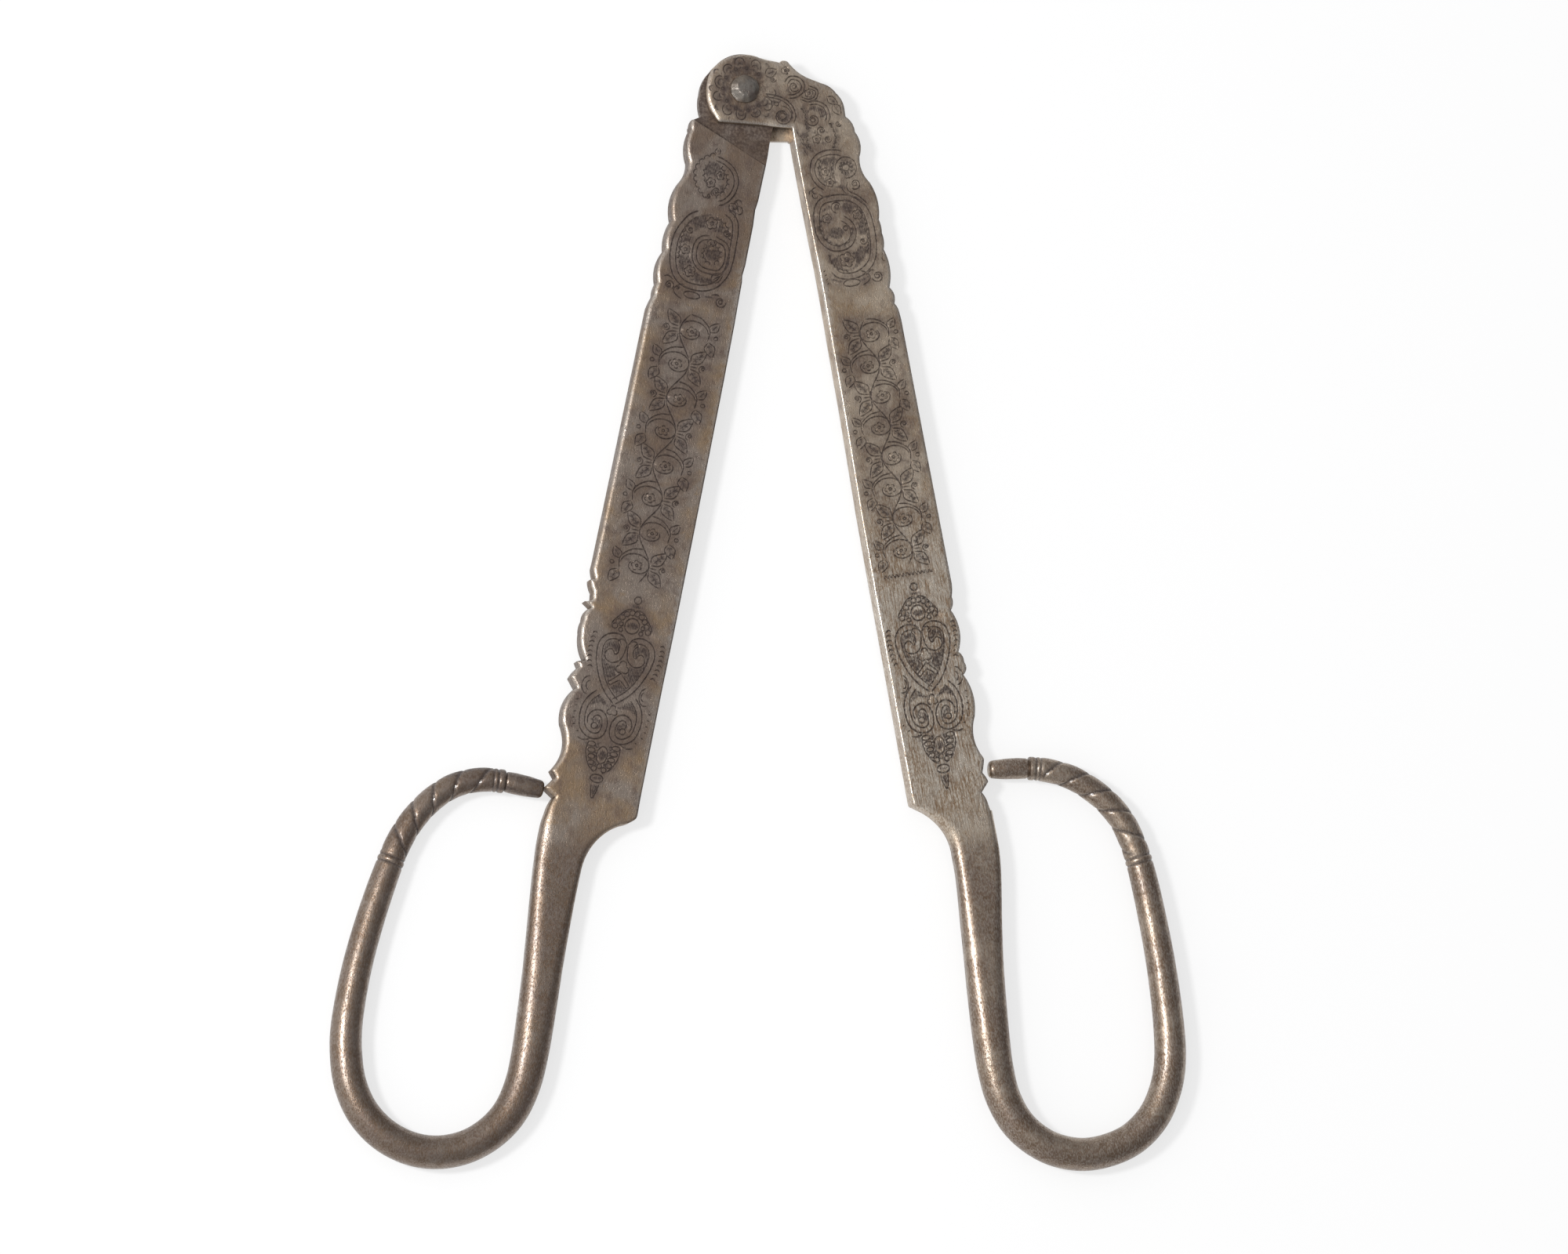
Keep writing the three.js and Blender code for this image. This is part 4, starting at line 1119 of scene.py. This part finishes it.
def sheet(arm, outline, cuts):
    """Points and triangles of a face: the outline, rows just inside it, the engraved lines
    and a loose grid between them."""
    rim = outline.points
    points = [rim]
    edges = [(k, (k + 1) % len(rim)) for k in range(len(rim))]
    count = len(rim)

    inward = left_of(unit(outline.runs + np.roll(outline.runs, 1, axis=0)))
    reach, _ = edge_rounding(rim, arm)
    for share in EDGE_ROWS:
        row = rim + inward * (reach * share)[:, None]
        row = row[outline.depth(row) > reach * share * 0.94]
        points.append(row)
        count += len(row)

    cut_points = []
    for cut in cuts:
        line, half, closed = cut["points"], cut["half"], cut["closed"]
        slope = np.gradient(line, axis=0)
        if closed:
            slope[0] = slope[-1] = line[1] - line[-2]
        slope /= np.maximum(np.linalg.norm(slope, axis=1), 1e-9)[:, None]
        for side in (-1, 0, 1):
            row = line + left_of(slope) * half[:, None] * side
            points.append(row)
            cut_points.append(row)
            edges += [(count + k, count + k + 1) for k in range(len(row) - 1)]
            count += len(row)

    low, high = rim.min(0), rim.max(0)
    grid = []
    for k, y in enumerate(np.arange(low[1], high[1], GRID_PITCH * 0.87)):
        x = np.arange(low[0] + (k % 2) * GRID_PITCH / 2, high[0], GRID_PITCH)
        grid.append(np.column_stack([x, np.full(len(x), y)]))
    grid = np.vstack(grid)
    reach, _ = edge_rounding(grid, arm)
    grid = grid[outline.depth(grid) > reach * 1.05 + 0.35]
    cells = {(int(x / GRID_CELL), int(y / GRID_CELL)) for x, y in np.vstack(cut_points)}
    around = [(i, j) for i in (-1, 0, 1) for j in (-1, 0, 1)]
    clear = [all((int(x / GRID_CELL) + i, int(y / GRID_CELL) + j) not in cells for i, j in around)
             for x, y in grid]
    points.append(grid[np.array(clear)])

    flat = [Vector(p) for p in np.vstack(points)]
    verts, _, faces, *_ = delaunay_2d_cdt(flat, edges, [], 0, 1e-4)
    places = np.array([tuple(v) for v in verts])
    faces = np.array(faces)
    return places, faces[outline.depth(places[faces].mean(1)) > 0]


def new_object(name, maker, arm=None):
    """A bmesh in millimetres becomes an object in metres, turned to its arm's resting place."""
    bmesh.ops.recalc_face_normals(maker, faces=maker.faces)
    if arm:
        turn = Matrix.Rotation(arm["turn"], 3, "Z")
        bmesh.ops.rotate(maker, verts=maker.verts, cent=(0, 0, 0), matrix=turn)
    bmesh.ops.scale(maker, verts=maker.verts, vec=(MM, MM, MM))
    mesh = bpy.data.meshes.new(name)
    maker.to_mesh(mesh)
    maker.free()
    return place_in_scene(name, mesh)


def plate(name, arm, outline, cuts):
    """The flat part of an arm. The rear face repeats the front one, without its finest lines."""
    maker = bmesh.new()
    maker.verts.layers.float.new("groove")
    for flip, marks in ((1, cuts), (-1, [cut for cut in cuts if cut["bold"]])):
        places, faces = sheet(arm, outline, marks)
        heights = MIDDLE_Z + flip * (face_height(places, arm, outline, marks) - MIDDLE_Z)
        verts = [maker.verts.new((x, y, z)) for (x, y), z in zip(places, heights)]
        for face in faces:
            maker.faces.new([verts[k] for k in face])
    loose = [v for v in maker.verts if not v.link_faces]
    bmesh.ops.delete(maker, geom=loose, context="VERTS")
    bmesh.ops.bridge_loops(maker, edges=[e for e in maker.edges if e.is_boundary])
    upright = []
    for edge in maker.edges:
        one, other = [vert.co for vert in edge.verts]
        if (one.z - MIDDLE_Z) * (other.z - MIDDLE_Z) < 0 and (one - other).xy.length < 1e-6:
            upright.append(edge)
    for item in bmesh.ops.subdivide_edges(maker, edges=upright, cuts=2)["geom_inner"]:
        if isinstance(item, bmesh.types.BMVert):
            item.co.z = MIDDLE_Z + (item.co.z - MIDDLE_Z) * WALL_ROW_SHARE
    return new_object(name, maker, arm)


# ---------------------------------------------------------------- the finger loops

LEFT_LOOP_SHARES = [(0, 0), (0.086, -0.005), (0.264, -0.022), (0.444, -0.04), (0.622, -0.052),
    (0.715, -0.045), (0.807, -0.008), (0.88, 0.065), (0.943, 0.18), (0.982, 0.327), (0.99, 0.478),
    (0.965, 0.641), (0.908, 0.78), (0.828, 0.876), (0.736, 0.931), (0.65, 0.957), (0.472, 0.965),
    (0.289, 0.943), (0.104, 0.899), (0.039, 0.876), (-0.029, 0.836), (-0.094, 0.776),
    (-0.139, 0.717), (-0.178, 0.645), (-0.204, 0.566), (-0.221, 0.48), (-0.228, 0.377),
    (-0.229, 0.271), (-0.229, 0.157)]
RIGHT_LOOP_SHARES = [(0, 0), (0.069, -0.005), (0.246, -0.037), (0.422, -0.065), (0.601, -0.085),
    (0.692, -0.089), (0.789, -0.074), (0.885, -0.013), (0.965, 0.114), (1.006, 0.272),
    (1.01, 0.421), (0.985, 0.581), (0.925, 0.716), (0.844, 0.805), (0.763, 0.853), (0.658, 0.879),
    (0.479, 0.895), (0.3, 0.893), (0.126, 0.877), (0.043, 0.856), (-0.033, 0.819), (-0.1, 0.753),
    (-0.15, 0.677), (-0.193, 0.588), (-0.222, 0.491), (-0.239, 0.402), (-0.249, 0.299),
    (-0.256, 0.193), (-0.26, 0.148)]
NECK_SWELL_SHARES = [(0, 1), (0.03, 0.82), (0.06, 0.65), (0.09, 0.5), (0.12, 0.37), (0.2, 0.27),
    (0.25, 0.18), (0.34, 0)]
THICKENING_SHARES = [(0, 0), (0.06, 0.3), (0.12, 0.62), (0.2, 1)]
ROUNDING_SHARES = [(0, 0), (0.02, 0), (0.1, 0.4), (0.2, 0.8), (0.3, 1)]
TAPER_SHARES = [(0.45, 0), (0.52, 0.09), (0.57, 0.17), (0.62, 0.32), (0.68, 0.45), (0.75, 0.59),
    (0.8, 0.78), (0.87, 0.93), (0.93, 1)]
TIP_LENGTH = 1.0
TIP_PAST = (0, 0.25, 0.6, 1)
TIP_THINNING = (0.15, 0.1, 0.13, 0.27)
ROD_ROOT = 9.0
ROD_SIDES = 48
# The rod is a little slack inside the neck, so that the two join in one clean line
SLACK_PLACES = (0, ROD_ROOT - 2, ROD_ROOT, ROD_ROOT + 6)
SLACK = (-0.12, -0.02, 0.03, -0.06)
COARSE_STEP = 0.9
FINE_STEP = 0.24
COLLAR_SHARE = 0.78
RING_SHARE = 0.951
# Ridges and filed lines: how far past the collar or the rings, half width and height
COLLAR_MARKS = [(0, 0.5, 0.1), (-0.75, 0.24, -0.24), (0.75, 0.24, -0.24)]
RING_MARKS = [(-1.9, 0.22, -0.2), (-0.85, 0.24, -0.26), (0.85, 0.26, -0.3)]
TWIST_PITCH = 12.4
# The twist's two grooves, one inside the other: half width and depth
TWIST_GROOVES = [(0.3, 0.34), (0.9, 0.09)]
TWIST_SWELL = 0.05
TIP_START = 0.8


def loop_line(arm, rows):
    """The middle line of a finger loop, from inside the neck round to the open tip."""
    turn = math.radians(arm["side"] * arm["loop_turn"])
    cos, sin = math.cos(turn), math.sin(turn)
    places = []
    for along_share, out_share in rows:
        x = arm["side"] * out_share * arm["loop_width"]
        y = -along_share * arm["loop_length"]
        places.append((x * cos - y * sin, x * sin + y * cos))
    places = np.array(places) + (arm["side"] * arm["middle"], -(arm["blade"] + arm["neck"]))
    inside_neck = places[0] + (0, ROD_ROOT)
    return resample(smooth_line(np.vstack([inside_neck, places]), 40), 0.05)


def rod_section(wide, thick, corners):
    """Points round a rectangle whose corners are quarter ellipses, on its left and on its right."""
    (left_reach, left_drop), (right_reach, right_drop) = corners
    angles = np.linspace(0, math.pi / 2, ROD_SIDES // 4)
    early, late = 1 - np.cos(angles), 1 - np.sin(angles)
    across = np.concatenate([
        wide / 2 - left_reach * early, right_reach * late - wide / 2,
        right_reach * early - wide / 2, wide / 2 - left_reach * late,
    ])
    upward = np.concatenate([
        thick / 2 - left_drop * late, thick / 2 - right_drop * early,
        right_drop * late - thick / 2, left_drop * early - thick / 2,
    ])
    return across, upward


def rod_lift(at, length, radius):
    """How far the twist, the collar, the rings and the tip lift or sink the rod's surface, all
    round, and how deep in a groove it lies."""
    collar, rings = [ROD_ROOT + share * (length - ROD_ROOT) for share in (COLLAR_SHARE, RING_SHARE)]
    lift = np.zeros(ROD_SIDES)
    fade = np.clip((at - collar - 1.0) / 1.2, 0, 1) * np.clip((rings - 2.2 - at) / 1.0, 0, 1)
    if fade > 0:
        around = (np.arange(ROD_SIDES) + 0.5) / ROD_SIDES * 2 * math.pi
        phase = (around + 2 * math.pi * at / TWIST_PITCH) % math.pi
        gap = np.minimum(phase, math.pi - phase) * radius * 0.6
        lift -= fade * sum(depth * np.exp(-(gap / half) ** 2) for half, depth in TWIST_GROOVES)
        lift += fade * TWIST_SWELL
    for middle, marks in ((collar, COLLAR_MARKS), (rings, RING_MARKS)):
        for past, half, height in marks:
            lift = lift + height * np.exp(-((at - middle - past) / half) ** 2)
    tip = rings + TIP_START
    past = np.clip((at - tip) / (length - tip), 0, 1)
    if at > tip:
        lift = lift - radius * np.interp(past, TIP_PAST, TIP_THINNING)
    return lift, np.clip(-lift / 0.22 * (past == 0), 0, 1)


def rod(name, arm, rows):
    """A finger loop's rod: square-edged by the neck, then round, twisted near its open tip."""
    line = loop_line(arm, rows)
    run = line_length(line)
    length = run[-1]
    root_share = ROD_ROOT / length
    fine_start = (COLLAR_SHARE - 0.01) * length
    stations = np.concatenate([
        np.arange(0, fine_start, COARSE_STEP),
        np.arange(fine_start, length - TIP_LENGTH, FINE_STEP),
        length - TIP_LENGTH * (1 - np.sin(np.linspace(0, math.pi / 2, 9))),
    ])
    foot = -(arm["blade"] + arm["neck"])
    neck_edges = [(arm["side"] * arm["middle"] + turn * NECK_WIDTH / 2, foot) for turn in (1, -1)]
    starting_corners = np.column_stack(edge_rounding(np.array(neck_edges), arm))

    def spot(at):
        return np.array([np.interp(at, run, line[:, k]) for k in (0, 1)])

    rings, grooves = [], []
    for at in stations:
        share = max(0.0, (at / length - root_share) / (1 - root_share))
        sideways = left_of(unit(spot(min(at + 0.4, length)) - spot(max(at - 0.4, 0))))
        size = FOOT_ROD - (FOOT_ROD - RING_ROD) * between(TAPER_SHARES, share)
        slack = np.interp(at, SLACK_PLACES, SLACK)
        thin = 1 - between(THICKENING_SHARES, share)
        wide = size + (NECK_WIDTH - FOOT_ROD) * between(NECK_SWELL_SHARES, share) + slack
        thick = size - (FOOT_ROD - BLADE_THICK + 2 * FACE_DROP) * thin + slack
        to_tip = min(1.0, (length - at) / TIP_LENGTH)
        shrink = 1.0 - 0.4 * (1 - math.sqrt(max(0.0, 1 - (1 - to_tip) ** 2)))
        wide *= shrink
        thick *= shrink
        mix = between(ROUNDING_SHARES, share)
        corners = starting_corners * (1 - mix) + np.array([wide, thick]) / 2 * mix
        across, upward = rod_section(wide, thick, np.minimum(corners, (wide * 0.49, thick * 0.49)))
        lift, groove = rod_lift(at, length, size / 2)
        grooves.append(groove)
        scale = 1 + lift / (size / 2)
        flat = spot(at) + sideways * (across * scale)[:, None]
        rings.append(np.column_stack([flat, MIDDLE_Z + upward * scale]))

    maker = bmesh.new()
    rows_count = len(rings) - 1
    bmesh.ops.create_grid(maker, x_segments=rows_count, y_segments=ROD_SIDES, size=1.0)
    layer = maker.verts.layers.float.new("groove")
    for vert in maker.verts:
        station = round((vert.co.x + 1) / 2 * rows_count)
        side = round((vert.co.y + 1) / 2 * ROD_SIDES) % ROD_SIDES
        vert.co = rings[station][side]
        vert[layer] = grooves[station][side]
    bmesh.ops.remove_doubles(maker, verts=maker.verts, dist=1e-4)
    bmesh.ops.holes_fill(maker, edges=[e for e in maker.edges if e.is_boundary], sides=0)
    return new_object(name, maker, arm)


# ---------------------------------------------------------------- cutting and joining

def block(name, corners, axis, far, arm):
    """A flat face with the given corners, drawn out along an axis as far as it says."""
    maker = bmesh.new()
    face = maker.faces.new([maker.verts.new(corner) for corner in corners])
    for item in bmesh.ops.extrude_face_region(maker, geom=[face], use_keep_orig=True)["geom"]:
        if isinstance(item, bmesh.types.BMVert):
            item.co[axis] = far
    return new_object(name, maker, arm)


def slab(name, corners, low, high, arm):
    """A flat block with the given corners (along, out)."""
    places = on_arm([corner[:2] for corner in corners], arm)
    return block(name, [(x, y, low) for x, y in places], 2, high, arm)


def pivot_disc(name, radius, low, high):
    maker = bmesh.new()
    bmesh.ops.create_cone(maker, cap_ends=True, segments=96, radius1=radius, radius2=radius,
                          depth=high - low, matrix=Matrix.Translation((0, 0, (low + high) / 2)))
    return new_object(name, maker)


def join(body, tool, operation):
    """Cuts one closed shape out of another, or makes them one, and drops the tool."""
    change = body.modifiers.new("join", "BOOLEAN")
    change.operation = operation
    change.solver = "MANIFOLD"
    change.object = tool
    bpy.context.view_layer.update()
    joined = body.evaluated_get(bpy.context.evaluated_depsgraph_get())
    result = bpy.data.meshes.new_from_object(joined)
    result.materials.clear()
    body.modifiers.clear()
    old = body.data
    body.data = result
    bpy.data.meshes.remove(old)
    bpy.data.objects.remove(tool)


def drill_pivot(body):
    join(body, pivot_disc("hole", HOLE_RADIUS, REAR_Z - OVERRUN, FRONT_Z + OVERRUN), "DIFFERENCE")


# ---------------------------------------------------------------- wear, grime and painted shade

# painted shade on the left blade's side walls
WALL_PAINTED_SHADE = 0.6
ROD_TARNISH = 1.5
HEAD_TARNISH = {-1: 0.9, 1: 0.6}
HEAD_END = 66
RUB_REACH = 0.9
# how far in from the outline the painted shade on right-facing edges reaches
EDGE_SHADE_REACH = 0.4
FACE_MARGIN = 0.5
SHARP_ANGLE = math.radians(33)
ON_OUTLINE = -0.02


def shade(piece, arm, outline, cuts):
    """Stores where the metal is cut, rubbed, polished and tarnished, where painted shade (with some
    grime) darkens it, and smooths what isn't an edge.
    """
    mesh = piece.data
    places = np.empty(len(mesh.vertices) * 3)
    mesh.vertices.foreach_get("co", places)
    places = places.reshape(-1, 3) / MM
    cos, sin = math.cos(-arm["turn"]), math.sin(-arm["turn"])
    flat = np.column_stack([
        places[:, 0] * cos - places[:, 1] * sin, places[:, 0] * sin + places[:, 1] * cos,
    ])
    left = arm["side"] < 0
    along, out = -flat[:, 1], flat[:, 0] * arm["side"]
    from_middle = np.abs(places[:, 2] - MIDDLE_Z)
    half_thick = BLADE_THICK / 2
    gap = outline.depth(flat)
    on_plate = (from_middle > half_thick - FACE_MARGIN) & (gap > ON_OUTLINE)

    # the engraving, and the tarnish round it
    _, share = cut_depth(flat, cuts)
    _, rear_share = cut_depth(flat, [cut for cut in cuts if cut["bold"]])
    cut_share = np.where(places[:, 2] > MIDDLE_Z, share, rear_share) * on_plate
    tree = point_tree(np.vstack([cut["points"] for cut in cuts]))
    near = np.array([tree.find((x, y, 0))[2] for x, y in flat])
    tarnish = eased(1.25 - near / TARNISH_REACH) * on_plate
    # the rods are handled and brown, the head is dark
    past_foot = eased((along - arm["blade"] + 3) / 18)
    beyond = out > arm["inner"] + arm["width"] + 1.5
    past_foot = np.where(beyond & (gap < ON_OUTLINE), 1.0, past_foot)
    tarnish = np.maximum(tarnish, past_foot * ROD_TARNISH)
    tarnish = np.maximum(tarnish, HEAD_TARNISH[arm["side"]] * eased((HEAD_END - along) / 44))

    # edges are rubbed bright by fits; those that face right get painted shade instead of the
    # rubbing
    before_rod = eased((arm["blade"] + arm["neck"] - 2.5 - along) / 3)
    facing_right = (arm["inner"] + 4 - out) / 2 if left else (out - arm["middle"] + 6) / 4
    rim = np.clip(1.15 - gap / EDGE_SHADE_REACH, 0, 1) * on_plate * eased(facing_right) * before_rod
    rubbed = np.clip(1 - gap / RUB_REACH, 0, 1) * on_plate * before_rod
    rubbed *= (0.5 + 0.4 * np.sin(along * 0.13 + 1) * np.sin(along * 0.041)) * (1 - rim)

    # painted shade darkens a ring round the rivet, with some grime there, and the fork's recess;
    # more painted shade goes on the left blade's side walls and right-facing edges
    painted_shade_with_grime = np.clip((9.0 - np.linalg.norm(flat, axis=1)) / 4.2, 0, 1) * 0.6
    sunk = np.clip((half_thick - 1.2 - from_middle) / 0.6, 0, 1)
    in_fork = sunk * eased((FRONT_FORK_DROP + 2 - along) / 2.5)
    painted_shade_with_grime = np.maximum(painted_shade_with_grime * (sunk < 0.5), in_fork * 0.7)
    walls = (from_middle < half_thick - 0.7) & (along < arm["blade"])
    painted_shade_with_grime = np.maximum(np.maximum(painted_shade_with_grime, walls * left * WALL_PAINTED_SHADE), rim)

    if left:
        polish = 0.2 * eased((along - arm["blade"] + 10) / 18) * (1 - 0.6 * past_foot)
    else:
        polish = (0.08 + 0.92 * eased((along - 85) / 45)) * (1 - 0.85 * past_foot)
    masks = dict(cut=cut_share, edge=rubbed, painted_shade_and_grime=painted_shade_with_grime, polish=polish, tarnish=tarnish)
    for name, values in masks.items():
        layer = mesh.attributes.new(name, "FLOAT", "POINT")
        layer.data.foreach_set("value", np.ascontiguousarray(values, dtype=np.float32))
    mesh.shade_smooth()
    mesh.set_sharp_from_angle(angle=SHARP_ANGLE)


# ---------------------------------------------------------------- the two arms

def above_line(name, inside_along, slope, low, high):
    """A block over all of the tongue above a sloping line across the left blade."""
    reach = LEFT_BLADE_WIDTH - LEFT_INNER
    return slab(name, [
        (-reach, -reach), (inside_along + slope * (reach + LEFT_INNER), -reach),
        (inside_along - slope * (reach - LEFT_INNER), reach), (-reach, reach),
    ], low, high, LEFT)


def ramp_block():
    """The tongue's front climbs to the blade's face between the fork and the shoulder."""
    tongue_front = MIDDLE_Z + TONGUE_THICK / 2
    start = FRONT_FORK_DROP + RUNNING_GAP
    end = SHOULDER_INSIDE + REAR_STEP_CLEARANCE
    reach = LEFT_BLADE_WIDTH - LEFT_INNER
    profile = [
        (start, tongue_front - OVERRUN), (start, tongue_front), (end, FRONT_Z + 0.02),
        (end + reach, FRONT_Z + 0.02), (end + reach, tongue_front - OVERRUN),
    ]
    return block("ramp", [(-reach, -along, z) for along, z in profile], 0, reach, LEFT)


def make_left_arm():
    outline = Outline(on_arm(left_outline(), LEFT))
    cuts = prepare_cuts(left_engraving(), LEFT, outline)
    arm = plate("left_arm_forging", LEFT, outline, cuts)
    join(arm, rod("left_rod", LEFT, LEFT_LOOP_SHARES), "UNION")
    tongue = TONGUE_THICK / 2
    front = above_line("front_cut", SHOULDER_INSIDE, SHOULDER_SLOPE,
                       MIDDLE_Z + tongue, FRONT_Z + OVERRUN)
    join(front, ramp_block(), "DIFFERENCE")
    join(arm, front, "DIFFERENCE")
    rear = above_line("rear_cut", REAR_FORK_DROP + REAR_STEP_CLEARANCE, SHOULDER_SLOPE / 2,
                      REAR_Z - OVERRUN, MIDDLE_Z - tongue)
    join(arm, rear, "DIFFERENCE")
    drill_pivot(arm)
    shade(arm, LEFT, outline, cuts)
    return arm


REAR_WEB_SHARES = [(0.8, -0.75), (1, -0.66), (1.04, 0.4)]
WEB_FILLET = 0.4


def make_right_arm():
    outline = Outline(on_arm(right_outline(), RIGHT))
    cuts = prepare_cuts(right_engraving(), RIGHT, outline)
    arm = plate("right_arm_forging", RIGHT, outline, cuts)
    start, corner, middle = REAR_WEB_SHARES
    web = chain([
        (0, start[1] * CHEEK_RADIUS, 0),
        (start[0] * CHEEK_RADIUS, start[1] * CHEEK_RADIUS, 0),
        (corner[0] * FRONT_FORK_DROP, corner[1] * CHEEK_RADIUS, 0),
        (middle[0] * (FRONT_FORK_DROP + REAR_FORK_DROP) / 2, middle[1] * RIGHT_INNER, 0),
        (REAR_FORK_DROP, RIGHT_INNER - WEB_FILLET, 0),
        (REAR_FORK_DROP + WEB_FILLET, RIGHT_INNER + WEB_FILLET / 5, -0.2),
        (REAR_FORK_DROP + WEB_FILLET, RIGHT_INNER + OVERRUN, 0),
        (0, RIGHT_INNER + OVERRUN, 0),
    ], 0.5)
    low, high = MIDDLE_Z - SLOT_HALF, MIDDLE_Z + SLOT_HALF
    join(arm, slab("rear_web", web, REAR_Z + 0.1, low, RIGHT), "UNION")
    join(arm, rod("right_rod", RIGHT, RIGHT_LOOP_SHARES), "UNION")
    reach = 2 * CHEEK_RADIUS
    slot = slab("slot", [
        (0, -reach), (0, RIGHT_INNER), (REAR_FORK_DROP + 2 * OVERRUN, RIGHT_INNER),
        (REAR_FORK_DROP + 2 * OVERRUN, -reach),
    ], low, high, RIGHT)
    join(slot, pivot_disc("slot_disc", RIGHT_INNER, low, high), "UNION")
    join(arm, slot, "DIFFERENCE")
    drill_pivot(arm)
    shade(arm, RIGHT, outline, cuts)
    return arm


# ---------------------------------------------------------------- the rivet

# Hammer blows on the rivet's head: which way each faces, in degrees, how steep it is, and how far
# from the middle it bites
HAMMER_BLOWS = [
    (222, 38, 1.7), (268, 33, 1.95), (178, 30, 2.0), (132, 36, 2.1), (312, 36, 2.0), (18, 34, 2.2),
    (62, 38, 2.05), (98, 33, 2.25), (345, 40, 2.2),
]
CROWN_DIP = 0.05
TURN_STEPS = 72


def make_rivet():
    head_low = FRONT_Z + SEAT_GAP
    top = head_low + RIVET_RISE
    rear_high = REAR_Z - SEAT_GAP
    profile = [
        (0.0, 0.0), (REAR_HEAD_RADIUS * 0.85, 0.0), (REAR_HEAD_RADIUS, rear_high / 2),
        (REAR_HEAD_RADIUS, rear_high), (PIN_RADIUS, rear_high), (PIN_RADIUS, head_low),
        (RIVET_RADIUS, head_low),
    ]
    profile += [(RIVET_RADIUS * share, top) for share in np.linspace(1, 0, 13)]
    maker = bmesh.new()
    verts = [maker.verts.new((r, 0, z)) for r, z in profile]
    edges = [maker.edges.new(pair) for pair in zip(verts, verts[1:])]
    bmesh.ops.spin(maker, geom=verts + edges, cent=(0, 0, 0), axis=(0, 0, 1), angle=2 * math.pi,
                   steps=TURN_STEPS, use_merge=True, use_duplicate=False)
    bmesh.ops.remove_doubles(maker, verts=maker.verts, dist=0.001)
    for vert in maker.verts:
        x, y, z = vert.co
        if z > top - 0.01:
            bevel = 0.0
            for facing, steep, bite in HAMMER_BLOWS:
                away = math.radians(facing)
                reach = x * math.cos(away) + y * math.sin(away) - bite
                bevel = max(bevel, math.tan(math.radians(steep)) * reach)
            rounding = CROWN_DIP * (x * x + y * y) / 2
            dent = 0.03 * math.sin(2.3 * x + 1.1) * math.sin(2.7 * y + 0.4)
            vert.co.z = max(head_low + 0.15, top - 0.04 - rounding - abs(dent) - bevel)
        if z > head_low - 0.02:
            around = math.atan2(y, x)
            wobble = 0.985 + 0.02 * math.sin(2 * around + 0.7) + 0.012 * math.sin(5 * around)
            vert.co.xy = x * min(wobble, 1.0), y * min(wobble, 1.0)
    rivet = new_object("hammered_rivet", maker)
    rivet.data.shade_smooth()
    rivet.data.set_sharp_from_angle(angle=math.radians(40))
    return rivet


# ---------------------------------------------------------------- the whole

add_camera()
add_table()
add_studio()
add_window()

BROWN = srgb(144, 121, 96)
RUBBED = srgb(186, 176, 164)
BRIGHT = srgb(220, 211, 197)

left_arm = make_left_arm()
left_arm.data.materials.append(old_steel(
    "left_steel_patina", LEFT_REST, srgb(150, 137, 126), BROWN, RUBBED, RUBBED))
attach(left_arm, "tongue_body")
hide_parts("left_arm")

right_arm = make_right_arm()
right_arm.data.materials.append(old_steel(
    "right_steel_patina", RIGHT_REST, srgb(184, 168, 149), BROWN, RUBBED, BRIGHT, (40, 7, 3)))
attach(right_arm, "fork_body")
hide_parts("right_arm")

rivet = make_rivet()
rivet.data.materials.append(old_steel(
    "rivet_steel_patina", 0, srgb(126, 121, 115), srgb(112, 100, 88), srgb(184, 178, 168), RUBBED,
    (9, 3, 1)))
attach(rivet, "fork_body")
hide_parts("hinge_rivet")
